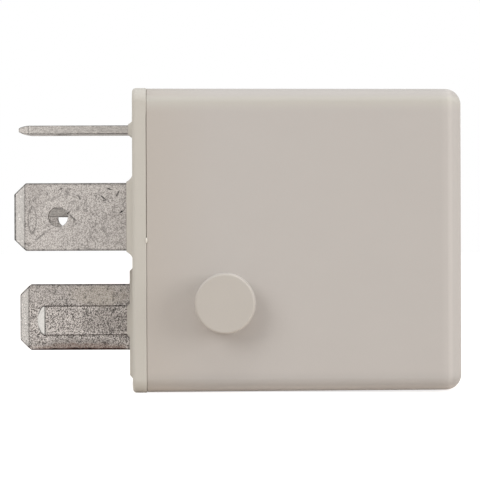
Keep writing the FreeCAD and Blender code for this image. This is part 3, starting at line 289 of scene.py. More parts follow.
@dataclass(frozen=True)
class CoverLightAndTint:
    """Painted light and shade on the cover, and the tint of the stud's end.

    A band holds two places: each effect begins at the first and is full at the second.

    Attributes:
        top_highlight, yellowed: colours of a painted highlight towards the upper rounding, and of
            the stud's end.
        top_highlight_band, yellowed_out: their bands, along Z and along Y.
        end_highlight_along, end_highlight: band of a painted highlight at the closed end, along X,
            and how light it is.
        low_shade_down, low_shade_end: bands along Z between which painted shade lies on the lower
            rounding.
        low_shade: how dark it is there.
        floor_bounce_down, floor_bounce: band along Z of painted light from the floor on its lowest
            edge, and how light it is.
    """

    top_highlight: Colour = srgb(202, 198, 189)
    top_highlight_band: Pair = (11.6 * MM, 12.9 * MM)
    yellowed: Colour = srgb(195, 188, 177)
    yellowed_out: Pair = (-15.6 * MM, -16.1 * MM)
    end_highlight_along: Pair = (28.2 * MM, 28.8 * MM)
    end_highlight: float = 0.05
    low_shade_down: Pair = (-11.9 * MM, -12.9 * MM)
    low_shade_end: Pair = (-13.5 * MM, -13.2 * MM)
    low_shade: float = 0.075
    floor_bounce_down: Pair = (-13.3 * MM, -13.6 * MM)
    floor_bounce: float = 0.16

    def lit_and_tinted(self, shader: Shader, colour: Any, level: Signal) -> tuple[Signal, Signal]:
        """Paint light and shade, and the stud's tint, on the plastic as it left the mould.

        Args:
            shader: its material.
            colour, level: its colour, and how light that is.

        Returns:
            The two, with these painted on.
        """
        height = shader.axis("Z")
        # A painted highlight towards the upper rounding, less where it faces up.
        top_highlight = height.ease(*self.top_highlight_band) * (1 - 0.9 * shader.facing("Z").ease(0.2, 0.6))
        colour = shader.mix(top_highlight, colour, self.top_highlight)
        yellowed = shader.axis("Y").ease(*self.yellowed_out)
        colour = shader.mix(0.55 * yellowed, colour, self.yellowed)
        # A painted highlight where the rounding of the closed end begins.
        end_highlight = shader.axis("X").ease(*self.end_highlight_along) * shader.facing("X").ease(0.2, 0.05)
        # Painted shade on the lower rounding.
        low_shade = height.ease(*self.low_shade_down) * height.ease(*self.low_shade_end)
        level = level + self.end_highlight * end_highlight - self.low_shade * low_shade
        # Painted light from the floor along the lowest edge.
        return colour, level + self.floor_bounce * height.ease(*self.floor_bounce_down)


@dataclass(frozen=True)
class MouldedPlastic:
    """Matt moulded plastic with an eroded-steel grain, faint flow marks and handling specks.

    Attributes:
        name: the material's name.
        colour, warm: its colours in the open and towards the blades.
        warm_reach: how far from the seating plane the warm tint lasts.
        grain, grain_depth: size and height of the grain left by the mould.
        ripple, flow, cloud: sizes of its ripples, flow marks and faint clouds.
        roughness: how matt it is.
        specks: how dark the specks are.
        slope_highlight: a painted highlight, lighter where the rounding of the closed end begins.
        variation: painted light and shade, and a tint, on it, if any.
    """

    name: str
    colour: Colour
    warm: Colour
    warm_reach: float = 9 * MM
    grain: float = 0.09 * MM
    grain_depth: float = 0.004 * MM
    ripple: float = 0.35 * MM
    flow: float = 1.6 * MM
    cloud: float = 7 * MM
    roughness: float = 0.52
    specks: float = 0.1
    slope_highlight: float = 0.0
    wear: Optional[CoverLightAndTint] = None

    def material(self) -> Material:
        """Build it.

        Returns:
            The material.
        """
        shader = Shader(self.name)
        grain = shader.noise(self.grain)
        clouds = shader.noise(self.cloud, 3.0)
        flow = shader.noise(self.flow, 2.0, (4, 1, 1))
        near = abs(shader.axis("X")).ease(self.warm_reach, 0.0)
        colour = shader.mix(near, self.colour, self.warm)
        rare = shader.noise(3 * MM, 1.0).ease(0.55, 0.75)
        specks = shader.cells(0.9 * MM).ease(0.09, 0.03) * rare
        level = 0.957 + 0.035 * clouds + 0.015 * flow + 0.045 * grain - self.specks * specks
        # A painted highlight where the rounding of the closed end begins.
        tilt = shader.facing("X")
        level = level + self.slope_highlight * tilt.ease(0.06, 0.2) * tilt.ease(0.5, 0.3)
        # The cover's painted light and shade, and the stud's tint.
        if self.wear:
            colour, level = self.wear.lit_and_tinted(shader, colour, level)
        height = grain + 0.5 * shader.noise(self.ripple) + 0.6 * flow
        return shader.finish(
            Base_Color=shader.shade(colour, level),
            Roughness=self.roughness + 0.08 * clouds + 0.05 * grain,
            Normal=shader.bump(height, self.grain_depth),
            IOR=1.5,
        )


class Sheet(Enum):
    """The axis that a flat blade's faces look along."""

    FLAT_TO_Y = "Y"
    FLAT_TO_Z = "Z"


@dataclass(frozen=True)
class Oval:
    """An oval area of a blade's face.

    Attributes:
        along, across: its middle, along X and across the blade.
        reach: its half sizes, along and across.
    """

    along: float
    across: float
    reach: Pair

    def apart(self, along: Signal, across: Signal) -> Signal:
        """Distance from the middle, squared.

        Args:
            along, across: the place on the face.

        Returns:
            The square, 1 on the outline.
        """
        share = (along - self.along) / self.reach[0]
        other = (across - self.across) / self.reach[1]
        return share * share + other * other


@dataclass(frozen=True)
class Stain(Oval):
    """A tinted area.

    Attributes:
        tint: the colour that it is mixed with.
        strength: how much of it, at its middle.
    """

    tint: Colour
    strength: float


@dataclass(frozen=True)
class Dent(Oval):
    """A shallow dent, shown only by a fine dark outline of painted shade.

    Attributes:
        depth: how dark its outline is.
    """

    depth: float = 0.45

    def line(self, along: Signal, across: Signal) -> Signal:
        """How dark the outline is at a place on the face."""
        return self.depth * abs(self.apart(along, across) ** 0.5 - 1.0).ease(0.2, 0.08)


@dataclass(frozen=True)
class Crease:
    """A fine dark line on a blade's face: painted shade where a stamped form begins, or a scratch.

    Attributes:
        along, across: its middle, along X and across the blade.
        half_length: half its length, measured across the blade.
        lean: how far it moves along X for each unit across.
        depth: how dark it is.
    """

    along: float
    across: float
    half_length: float
    lean: float = 0.0
    depth: float = 0.5

    def line(self, along: Signal, across: Signal) -> Signal:
        """How dark it is.

        Args:
            along, across: the place on the face.

        Returns:
            Its depth there, 0 away from it.
        """
        beside = across - self.across
        away = (along - self.along - self.lean * beside) / math.hypot(1, self.lean)
        ends = abs(beside).ease(self.half_length, self.half_length - 0.1 * MM)
        return self.depth * abs(away).ease(0.1 * MM, 0.04 * MM) * ends


@dataclass(frozen=True)
class TinPlate:
    """Hot-tinned brass strip: mottled and pitted faces, sheared edges with bare metal in them.

    Attributes:
        name: the material's name.
        sheet: the axis that its faces look along.
        tip, middle: places of the blade's tip along X and of its middle across its width.
        bevel: length of the lead-in bevel.
        chamfer: corner cut of the tip, along and across.
        light, dark: colours of the clean and of the dull tin.
        edge: colour of the sheared edges.
        slope_highlight: the worked bevel's colour, and a painted highlight on slopes facing the
            tip.
        creases, stains, dents: marks on the faces, with painted shade at stamped forms and dents.
        grain, cloud, blotch: sizes of the mottle's grains, clouds and blotches.
        contrast: how far the mottle goes from light to dark.
        roughened: how strong the pits and worm marks are.
        scuffed: the place across the blade below which the mottle is much stronger; it lies
            outside the blade unless it is set.
        outline: how dark the painted shade is along every rounded edge.
    """

    name: str
    sheet: Sheet
    tip: float
    middle: float
    bevel: float = 1.0 * MM
    chamfer: Pair = (1.1 * MM, 1.05 * MM)
    light: Colour = srgb(205, 200, 195)
    dark: Colour = srgb(114, 109, 106)
    edge: Colour = srgb(195, 191, 186)
    slope_highlight: Colour = srgb(208, 206, 202)
    creases: tuple[Crease, ...] = ()
    stains: tuple[Stain, ...] = ()
    dents: tuple[Dent, ...] = ()
    grain: float = 0.075 * MM
    cloud: float = 0.3 * MM
    blotch: float = 1.3 * MM
    contrast: float = 0.7
    roughened: float = 0.6
    scuffed: float = -1.0
    outline: float = 0.95

    def material(self) -> Material:
        """Build it.

        Returns:
            The material.
        """
        shader = Shader(self.name)
        along = shader.axis("X")
        across = shader.axis("Z" if self.sheet is Sheet.FLAT_TO_Y else "Y")
        upright = abs(shader.facing(self.sheet.value))
        sheared = upright.ease(0.6, 0.2)

        # The mottle: fine grains first, then softer clouds and marks of the rolling.
        grains = shader.noise(self.grain, 1.0)
        fine = shader.noise(self.cloud)
        blotch = shader.noise(self.blotch, 4.0)
        rolled = shader.noise(0.16 * MM, 2.0, (9, 1, 1))
        soft = (0.6 * fine + 0.25 * blotch + 0.15 * rolled).ease(0.3, 0.7)
        scuffs = across.ease(self.scuffed + 0.3 * MM, self.scuffed - 0.3 * MM)
        contrast = self.contrast * (1 + 1.1 * scuffs)
        mottle = 0.5 + contrast * (0.2 * soft + 0.8 * grains.ease(0.4, 0.58) - 0.5)
        face = shader.mix(mottle, self.dark, self.light)
        for stain in self.stains:
            apart = stain.apart(along, across) + 1.6 * (blotch - 0.5)
            face = shader.mix(stain.strength * apart.ease(1.0, 0.15), face, stain.tint)

        # The worked bevel, and a painted highlight on the slopes facing the tip, such as the bead's
        # ramp.
        bevel = self.tip + self.bevel
        slope = shader.facing("X").ease(-0.14, -0.3) * (1 - sheared)
        bevel_and_lit_slope = along.ease(bevel + 0.02 * MM, bevel - 0.05 * MM) * (1 - slope) + slope
        ramp = slope * along.ease(bevel, bevel + 0.1 * MM)
        face = shader.mix(0.4 * bevel_and_lit_slope + 0.45 * ramp, face, self.slope_highlight)
        worked = bevel_and_lit_slope * (1 - ramp) * (1 - sheared)

        # Pits and worm-shaped marks, painted glints on the bevel, and the dark lines.
        worms = abs(shader.noise(0.4 * MM) - 0.5).ease(0.07, 0.02)
        wormy = worms * shader.noise(0.5 * MM).ease(0.52, 0.62)
        pits = shader.cells(0.4 * MM).ease(0.26, 0.1) * shader.noise(1.2 * MM).ease(0.46, 0.6)
        marks = (0.55 * pits + 0.5 * wormy) * (1 - 0.6 * bevel_and_lit_slope) * (1 - sheared)
        painted_glints = shader.cells(0.35 * MM).ease(0.3, 0.14) * worked
        # A line of painted shade where the bevel begins.
        begins = Crease(bevel, self.middle, HALF_BLADE)
        marked = (begins, *self.creases, *self.dents)
        line = sum(mark.line(along, across) for mark in marked)

        # Painted shade on the rim and rounded edges; a painted highlight on a strip inside the rim.
        offset = abs(across - self.middle)
        inside = HALF_BLADE - offset
        diagonal = (along - self.tip) / self.chamfer[0] + inside / self.chamfer[1] - 1
        slant = self.chamfer[0] * self.chamfer[1] / math.hypot(*self.chamfer)
        within = inside.ease(0.12 * MM, 0.22 * MM) * (diagonal * slant).ease(0.08 * MM, 0.16 * MM)
        painted_edge_shade = (1 - within) * (1 - sheared)
        strip = inside.ease(0.5 * MM, 0.3 * MM) * (1 - painted_edge_shade)
        corner = upright.ease(0.97, 0.8) * upright.ease(0.1, 0.35) * along.ease(0.4 * MM, 0.0)
        wear = 0.6 + 0.4 * fine.ease(0.3, 0.7)

        # All of it, and the sheared edges.
        level = 1.0 + 0.04 * strip - self.roughened * marks - 0.42 * painted_edge_shade * wear - 0.14 * worked
        # Painted glints on the bevel, and the sheared edges lighter on the bevel and the lit
        # slopes.
        level = level + 0.3 * painted_glints + 0.16 * sheared * bevel_and_lit_slope
        level = level - line * (0.4 + 0.6 * rolled) - self.outline * corner * wear
        torn = 0.6 * grains + 0.4 * shader.noise(0.12 * MM, 2.0, (2.5, 1, 1))
        cut = shader.mix(0.6 * torn.ease(0.36, 0.62), self.edge, self.dark)
        height = 0.5 * grains + 0.4 * fine + 0.4 * blotch + 0.3 * rolled - pits - 0.5 * wormy
        return shader.finish(
            Base_Color=shader.shade(shader.mix(sheared, face, cut), level),
            Metallic=1.0,
            Roughness=0.42 + 0.12 * fine + 0.1 * blotch + 0.12 * sheared,
            Normal=shader.bump(height, 0.01 * MM),
        )


@dataclass(frozen=True)
class Metal:
    """A worked metal surface: brushed or tumbled, with dull patches.

    Attributes:
        name: the material's name.
        light, dark: colours of the bright and of the dull metal.
        roughness: how matt the bright metal is.
        grain: size of the tumbling marks.
        lay: how much longer the marks are along each axis.
        relief: depth of the marks.
    """

    name: str
    light: Colour
    dark: Colour
    roughness: float = 0.3
    grain: float = 0.2 * MM
    lay: Triple = (1, 1, 1)
    relief: float = 0.006 * MM

    def material(self) -> Material:
        """Build it.

        Returns:
            The material.
        """
        shader = Shader(self.name)
        marks = shader.noise(self.grain, 3.0, self.lay)
        patches = shader.noise(2.2 * MM, 3.0)
        dull = (0.6 * patches + 0.4 * marks).ease(0.38, 0.66)
        return shader.finish(
            Base_Color=shader.mix(dull, self.light, self.dark),
            Metallic=1.0,
            Roughness=self.roughness + 0.2 * dull + 0.08 * marks,
            Normal=shader.bump(marks, self.relief),
        )


@dataclass(frozen=True)
class Enamel:
    """Copper wire under clear amber enamel, a little uneven from turn to turn.

    Attributes:
        name: the material's name.
        light, dark: colours of the bright and of the dull turns.
    """

    name: str = "enamelled_wire"
    light: Colour = srgb(196, 110, 62)
    dark: Colour = srgb(128, 58, 30)

    def material(self) -> Material:
        """Build it.

        Returns:
            The material.
        """
        shader = Shader(self.name)
        turns = shader.noise(0.22 * MM, 1.0, (1, 30, 30))
        patches = shader.noise(2.5 * MM, 3.0)
        tone = (0.5 * turns + 0.5 * patches).ease(0.3, 0.7)
        return shader.finish(
            Base_Color=shader.mix(tone, self.dark, self.light),
            Metallic=0.85,
            Roughness=0.24 + 0.16 * patches,
            Coat_Weight=0.7,
            Normal=shader.bump(shader.noise(0.3 * MM), 0.004 * MM),
        )


@dataclass(frozen=True)
class BandedLacquer:
    """Glossy dipped lacquer of a resistor, with its painted value bands.

    Attributes:
        bands: each band's place along Y and its colour.
        name: the material's name.
        body: colour of the lacquer.
        band_width: width of every band.
        waver: how far the edges of the bands waver.
    """

    bands: tuple[tuple[float, Colour], ...]
    name: str = "resistor_lacquer"
    body: Colour = srgb(196, 178, 138)
    band_width: float = 0.62 * MM
    waver: float = 0.16 * MM

    def material(self) -> Material:
        """Build it.

        Returns:
            The material.
        """
        shader = Shader(self.name)
        wobble = shader.noise(0.8 * MM)
        along = shader.axis("Y") + self.waver * (wobble - 0.5)
        ground = shader.noise(1.5 * MM, 3.0)
        colour = shader.shade(self.body, 0.9 + 0.2 * ground)
        half = self.band_width / 2
        for place, paint in self.bands:
            inside = abs(along - place).ease(half, half - 0.05 * MM)
            colour = shader.mix(inside, colour, paint)
        return shader.finish(
            Base_Color=colour,
            Roughness=0.22 + 0.12 * wobble,
            Coat_Weight=0.5,
            Normal=shader.bump(ground, 0.02 * MM),
        )


# -------------------- surfaces

WELD = 0.001 * MM  # corners closer than this are one
SHARP = 35.0  # edges that turn by more degrees than this are rounded


class Ends(Enum):
    """How the two ends of a tube-like grid are closed."""

    POLES = "poles"
    LOOP = "loop"


def grid_piece(name: str, points: Points, ends: Ends) -> Piece:
    """Make a closed mesh of a grid of points.

    The faces join each point to the next along its row and to the row after. Every row closes
    on itself. The rows then either close on each other, or end in one point at each end, which
    is the mean of the row there.

    Args:
        name: the object's name.
        points: an array of rows, columns and three coordinates.
        ends: how the first and the last row are closed.

    Returns:
        The new object, linked to the scene, its faces pointing outwards.
    """
    rows, columns = points.shape[:2]
    vertices = points.reshape(-1, 3)
    index = np.arange(rows * columns).reshape(rows, columns)
    row = index if ends is Ends.LOOP else index[:-1]
    after = np.roll(index, -1, axis=0)[: len(row)]
    corners = [row, np.roll(row, -1, axis=1), np.roll(after, -1, axis=1), after]
    faces = np.stack(corners, axis=-1).reshape(-1, 4).tolist()
    if ends is Ends.POLES:
        vertices = np.vstack([vertices, points[[0, -1]].mean(axis=1)])
        pole = np.full(columns, rows * columns)
        faces += np.stack([np.roll(index[0], -1), index[0], pole], axis=-1).tolist()
        faces += np.stack([index[-1], np.roll(index[-1], -1), pole + 1], axis=-1).tolist()
    mesh = bpy.data.meshes.new(name)
    mesh.from_pydata(vertices.tolist(), [], faces)
    return smoothed(linked(name, mesh))


def placed(name: str, data: bpy.types.ID) -> Piece:
    """Add an object to the scene.

    Args:
        name: its name.
        data: its mesh, lamp or camera.

    Returns:
        The object.
    """
    made = bpy.data.objects.new(name, data)
    bpy.context.scene.collection.objects.link(made)
    return made


def linked(name: str, mesh: bpy.types.Mesh) -> Piece:
    """Add an object of a mesh, with its faces turned outwards.

    Args:
        name: the object's name.
        mesh: a closed mesh.

    Returns:
        The object.
    """
    work = bmesh.new()
    work.from_mesh(mesh)
    bmesh.ops.recalc_face_normals(work, faces=work.faces)
    work.to_mesh(mesh)
    work.free()
    return placed(name, mesh)


def smoothed(piece: Piece, degrees: float = 40) -> Piece:
    """Shade a piece smooth, apart from its sharp edges.

    Args:
        piece: the object.
        degrees: edges that turn by more than this are sharp.

    Returns:
        The same object.
    """
    mesh = piece.data
    mesh.polygons.foreach_set("use_smooth", np.ones(len(mesh.polygons), bool))
    mesh.set_sharp_from_angle(angle=math.radians(degrees))
    return piece


def softened(node: str, radius: float, nose: Optional[float] = None) -> Piece:
    """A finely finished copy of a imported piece, its sharp edges worked to a small radius.

    Args:
        node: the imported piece, which the copy stands for.
        radius: the radius that moulding, stamping or tumbling leaves.
        nose: a larger radius for the long edges of a blade's tip, if it has one.

    Returns:
        The copy, at the same place.
    """
    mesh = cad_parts[node].data.copy()
    mesh.name = f"{node}_fine"
    work = bmesh.new()
    work.from_mesh(mesh)
    bmesh.ops.remove_doubles(work, verts=work.verts, dist=WELD)
    flat = math.radians(0.15)
    bmesh.ops.dissolve_limit(work, angle_limit=flat, verts=work.verts, edges=work.edges)
    if nose:
        weigh_edges(work, radius / nose)
    work.to_mesh(mesh)
    work.free()
    if "custom_normal" in mesh.attributes:
        mesh.attributes.remove(mesh.attributes["custom_normal"])
    piece = smoothed(placed(mesh.name, mesh), SHARP)
    bevel = piece.modifiers.new("worked_edges", "BEVEL")
    bevel.width = nose or radius
    bevel.segments = 4 if nose else 2
    bevel.limit_method = "WEIGHT" if nose else "ANGLE"
    bevel.angle_limit = math.radians(SHARP)
    bevel.use_clamp_overlap = False
    normals = piece.modifiers.new("even_normals", "WEIGHTED_NORMAL")
    normals.weight = 60
    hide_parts(node)
    return piece


def weigh_edges(work: bmesh.types.BMesh, share: float) -> None:
    """Give each sharp edge its share of the widest rounding.

    Args:
        work: the mesh, its tip towards -X.
        share: for every such edge but the long ones at the tip, which get it all.
    """
    weight = work.edges.layers.float.new("bevel_weight_edge")
    long = 1.0 * MM
    tip = min(vertex.co.x for vertex in work.verts) + 0.01 * MM
    for edge in work.edges:
        if len(edge.link_faces) == 2 and edge.calc_face_angle() >= math.radians(SHARP):
            at_tip = all(vertex.co.x < tip for vertex in edge.verts)
            edge[weight] = 1.0 if at_tip and edge.calc_length() > long else share


def dress(piece: Piece, material: Material) -> Piece:
    """Give a piece one material all over, and report it.

    Args:
        piece: a new object, or a packed one, whose mesh is left as it is.
        material: its finish.

    Returns:
        The same object.
    """
    if piece.material_slots:
        for slot in piece.material_slots:
            slot.link = "OBJECT"
            slot.material = material
    else:
        piece.data.materials.append(material)
    log.info("%s: %d faces, %s", piece.name, len(piece.data.polygons), material.name)
    return piece


def dress_nodes(material: Material, *nodes: str) -> None:
    """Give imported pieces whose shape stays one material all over."""
    for node in nodes:
        dress(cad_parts[node], material)


def ride(piece: Piece, body: str) -> None:
    """Let a new piece move with a body."""
    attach(piece, body)


def _step(distance: Points, width: float) -> Points:
    """A smooth step from 0 at or below 0 to 1 at width: t * t * (3 - 2 * t)."""
    share = np.clip(distance / width, 0, 1)
    return share * share * (3 - 2 * share)


# -------------------- sub-assemblies

HOUSING = "housing"
ARMATURE = "armature_group"


@dataclass
class Housing:
    """The moulded cover and base, and what is moulded on them.

    Attributes:
        edge: radius on the moulded edges.
        number_height: height of the terminal numbers under the flange.
        number_line: the lettering's line height, as a multiple of that.
        number_relief: how far they stand out.
        numbers: each terminal's number, and its middle along Y and Z.
        nib: half sizes of the nib at the end of the slot in the seam.
        nib_sunk: how far its middle lies outside the cover's end and the flange.
        cover_finish, base_finish, nib_highlight_finish: finishes; the nib's lighter plastic is a
        painted highlight.
    """

    edge: float = 0.07 * MM
    number_height: float = 1.9 * MM
    number_line: float = 1.4
    number_relief: float = 0.17 * MM
    nib: Triple = (0.1 * MM, 0.09 * MM, 0.26 * MM)
    nib_sunk: float = 0.01 * MM
    numbers: tuple[tuple[str, float, float], ...] = (
        ("87", -7.3 * MM, 10.5 * MM),
        ("87a", 0.0, -0.9 * MM),
        ("85", -8.4 * MM, -4.7 * MM),
        ("86", 8.4 * MM, -4.7 * MM),
        ("30", -6.2 * MM, -9.6 * MM),
    )
    cover_finish: MouldedPlastic = MouldedPlastic(
        "cover_plastic", srgb(195, 189, 183), srgb(192, 184, 175), slope_highlight=0.11, wear=CoverLightAndTint()
    )
    base_finish: MouldedPlastic = MouldedPlastic(
        "base_plastic", srgb(203, 198, 189), srgb(202, 197, 187)
    )
    # A lighter plastic that paints a highlight on the nib.
    nib_highlight_finish: MouldedPlastic = MouldedPlastic(
        "nib_painted_highlight", srgb(228, 223, 212), srgb(228, 223, 212), roughness=0.4
    )

    def build(self) -> None:
        """Make and dress every piece."""
        plastic = self.base_finish.material()
        ride(dress(softened("cover", self.edge), self.cover_finish.material()), HOUSING)
        ride(dress(softened("base", self.edge), plastic), HOUSING)
        ride(dress(self.terminal_numbers(), plastic), HOUSING)
        ride(dress(self.seam_nib(), self.nib_highlight_finish.material()), HOUSING)

    def seam_nib(self) -> Piece:
        """The small nib that ends the slot in the seam: an ellipsoid half sunk in the flange.

        With up running from pole to pole and turn about it, a point is the middle plus the half
        sizes times (sin(up) * cos(turn), sin(up) * sin(turn), -cos(up)).

        Returns:
            The nib.
        """
        up = np.linspace(0.15, np.pi - 0.15, 12)[:, None]
        turn = np.linspace(0, 2 * np.pi, 20, endpoint=False) + np.pi / 4
        ball = np.sin(up) * np.cos(turn), np.sin(up) * np.sin(turn), -np.cos(up)
        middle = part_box("cover")[0].x - self.nib_sunk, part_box("base")[0].y - self.nib_sunk, 0
        points = [m + half * share for m, half, share in zip(middle, self.nib, ball)]
        return grid_piece("seam_nib", np.stack(np.broadcast_arrays(*points), axis=-1), Ends.POLES)

    def terminal_numbers(self) -> Piece:
        """Raised numbers beside the blades, read from the side of the blades.

        Returns:
            All of them as one piece.
        """
        work = bmesh.new()
        facing = Matrix(((0, 0, -1), (-1, 0, 0), (0, 1, 0))).to_4x4()
        for text, across, up in self.numbers:
            curve = bpy.data.curves.new(f"number_{text}", "FONT")
            curve.body = text
            curve.size = self.number_height * self.number_line
            curve.align_x = curve.align_y = "CENTER"
            curve.extrude = self.number_relief
            curve.resolution_u = 3
            sign = bpy.data.objects.new(curve.name, curve)
            mesh = bpy.data.meshes.new_from_object(sign)
            mesh.transform(Matrix.Translation((0, across, up)) @ facing)
            work.from_mesh(mesh)
            bpy.data.objects.remove(sign)
            bpy.data.meshes.remove(mesh)
        bmesh.ops.remove_doubles(work, verts=work.verts, dist=WELD)
        mesh = bpy.data.meshes.new("terminal_numbers")
        work.to_mesh(mesh)
        work.free()
        return smoothed(linked("terminal_numbers", mesh), 30)


@dataclass
class Terminals:
    """The five stamped and tinned blades.

    Attributes:
        edge: radius on the stamped edges.
        nose, nose_radius: half the thickness left at the tip, and the radius on its long edges.
        half_sheet: half the thickness of the strip.
        bevel, bevel_radius: length and crown of the common blade's lead-in bevel.
        chamfer: corner cut of its tip, along and across.
        chamfer_run, chamfer_round: how far back the rounded cut reaches, and how far it is
            rounded, as a share of that.
        common: its middle, along Z.
        bead_middle: middle of its bead, along Z.
        bead_half, bead_height, bead_ramp: sizes of the bead.
        bead_start, bead_end: where the bead starts and ends, along X.
        bead_soft: width of the soft step at its foot.
        neck: where the common strip narrows, along X.
        neck_low, neck_high: its edges from there, along Z.
        bend, bend_start: middle radius of its bend, and where that starts along X.
        tab_end: where its tab ends, along Y.
        columns: steps across each of its faces.
    """

    edge: float = 0.06 * MM
    nose: float = 0.18 * MM
    nose_radius: float = 0.15 * MM
    half_sheet: float = 0.4 * MM
    bevel: float = 0.84 * MM
    bevel_radius: float = 2.6 * MM
    chamfer: Pair = (1.04 * MM, 1.0 * MM)
    chamfer_run: float = 1.144 * MM
    chamfer_round: float = 0.14
    common: float = -7.3 * MM
    bead_middle: float = -7.62 * MM
    bead_half: float = 1.4 * MM
    bead_height: float = 0.3 * MM
    bead_ramp: float = 0.74 * MM
    bead_start: float = -9.51 * MM
    bead_end: float = -0.94 * MM
    bead_soft: float = 0.05 * MM
    neck: float = 1.6 * MM
    neck_low: float = -9.8 * MM
    neck_high: float = -5.725 * MM
    bend: float = 0.6 * MM
    bend_start: float = 3.2 * MM
    tab_end: float = 5.4 * MM
    columns: int = 75

    def build(self) -> None:
        """Make and dress every blade."""
        dusk = srgb(128, 121, 117)
        tired = (
            Stain(-2.5 * MM, 0.5 * MM, (4.5 * MM, 3.2 * MM), dusk, 0.09),
            Stain(-9.2 * MM, 4.4 * MM, (1.2 * MM, 1.6 * MM), dusk, 0.2),
        )
        # Each scratch: along, across and half length in millimetres, then lean and depth.
        scratches = (
            (-5.67, 2.1, 0.32, -1.05, 0.8),
            (-6.1, 2.58, 0.17, 0.9, 1.2),
            (-2.9, 4.03, 0.2, -1.0, 1.1),
            (-2.75, 3.75, 0.14, 1.4, 0.9),
            (-2.28, 4.8, 0.15, -1.6, 1.1),
            (-1.51, 4.34, 0.3, 0.5, 1.0),
            (-1.14, 2.68, 0.16, 1.2, 1.1),
            (-5.08, 4.03, 0.24, -0.9, 0.8),
            (-6.8, 4.8, 0.12, 1.8, 0.9),
            (-8.46, 0.6, 0.6, 1.36, 0.36),
            (-8.9, 0.2, 0.4, 1.0, 0.3),
        )
        creases = tuple(Crease(x * MM, z * MM, half * MM, *rest) for x, z, half, *rest in scratches)
        # The lens near the tip, drawn as an outline of painted shade.
        lens = Dent(-9.47 * MM, 1.93 * MM, (0.37 * MM, 1.17 * MM))
        marks = {"stains": tired, "creases": creases, "dents": (lens,)}
        self.blade("terminal_85", Sheet.FLAT_TO_Y, **marks)
        self.blade("terminal_86", Sheet.FLAT_TO_Y)
        self.blade("terminal_87", Sheet.FLAT_TO_Z)
        self.blade("terminal_87a", Sheet.FLAT_TO_Z)
        self.common_blade()

    def blade(self, name: str, sheet: Sheet, **marks: tuple) -> None:
        """One terminal with a plain blade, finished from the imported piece.

        Args:
            name: its node.
            sheet: the axis that its faces look along.
            marks: the creases, stains and dents on it, by TinPlate's names.
        """
        low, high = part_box(name)
        middle = (low.z + high.z) / 2 if sheet is Sheet.FLAT_TO_Y else 0.0
        tin = TinPlate(f"tin_{name}", sheet, low.x, middle, **marks).material()
        piece = softened(name, self.edge, self.nose_radius)
        ride(dress(piece, tin), HOUSING)

    def common_blade(self) -> None:
        """Terminal 30, whose bead is stamped into the blade."""
        brown, straw, soot = srgb(132, 100, 84), srgb(180, 172, 160), srgb(100, 93, 88)
        stains = (
            Stain(-3.6 * MM, -5.2 * MM, (3.2 * MM, 1.3 * MM), straw, 0.36),
            Stain(-5.0 * MM, -10.3 * MM, (6.0 * MM, 0.6 * MM), brown, 0.42),
            Stain(-2.4 * MM, -7.7 * MM, (3.4 * MM, 1.6 * MM), soot, 0.3),
            Stain(-5.5 * MM, -9.9 * MM, (6.0 * MM, 0.7 * MM), soot, 0.4),
            Stain(-4.6 * MM, -10.4 * MM, (7.0 * MM, 0.2 * MM), srgb(64, 44, 40), 0.9),
        )
        ramp_end = self.bead_start + self.bead_ramp
        tin = TinPlate(
            "tin_terminal_30",
            Sheet.FLAT_TO_Y,
            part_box("terminal_30")[0].x,
            self.common,
            self.bevel,
            self.chamfer,
            light=srgb(204, 198, 193),
            dark=srgb(94, 89, 86),
            edge=srgb(112, 92, 80),
            # Painted shade where the bead's ramp meets its top.
            creases=(Crease(ramp_end, self.bead_middle, self.bead_half, depth=0.85),),
            stains=stains,
            contrast=0.8,
            roughened=1.0,
            scuffed=-6.15 * MM,
        )
        piece = grid_piece("terminal_30_fine", self.beaded_strip(), Ends.POLES)
        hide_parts("terminal_30")
        ride(dress(piece, tin.material()), HOUSING)

    def beaded_strip(self) -> Points:
        """The common terminal's strip, as rings carried along its bent middle line.

        The line runs along X and turns through a quarter circle towards +Y. A ring lies square
        to it: the outer face, a round edge, the inner face and the other edge. Its half thickness
        at the tip follows a circle from the nose to the full sheet. Its edges close in there by
        hypot(what is left of the corner cut, a small number), which is a straight line with a
        rounded start. The outer face is raised by the bead: height * (a ramp along the strip, cut
        off at 1) * (1 inside a half ellipse that is drawn round the bead's end and between its two
        sides, 0 outside, with a soft step between). The inner face has the matching hollow.

        Returns:
            A grid of points, one ring for each place along the strip.
        """
        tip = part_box("terminal_30")[0].x
        straight = self.bend_start - tip
        bent = straight + self.bend * np.pi / 2
        total = bent + self.tab_end - self.bend
        bead, end, neck = self.bead_start - tip, self.bead_end - tip, self.neck - tip
        ramp_end = bead + self.bead_ramp
        # Each stretch of rings: where it begins and ends, and how many there are.
        stretches = (
            (self.edge, 1.2 * MM, 22),
            (1.3 * MM, bead - 0.1 * MM, 5),
            (bead - 0.05 * MM, ramp_end + 0.1 * MM, 30),
            (ramp_end + 0.2 * MM, end - 0.1 * MM, 24),
            (end - 0.05 * MM, end + 0.02 * MM, 5),
            (end + 0.2 * MM, neck - 0.001 * MM, 5),
            (neck, straight, 4),
            (straight + 0.1 * MM, bent, 10),
            (bent + 0.2 * MM, total - self.edge, 6),
        )
        inside = np.concatenate([np.linspace(*stretch) for stretch in stretches])
        quarter = np.linspace(0, np.pi / 2, 4)
        near, inset = self.edge * (1 - np.cos(quarter)), self.edge * (1 - np.sin(quarter))
        place = np.concatenate([near, inside, total - near[::-1]])[:, None]
        shrink = np.concatenate([inset, 0 * inside, inset[::-1]])[:, None]

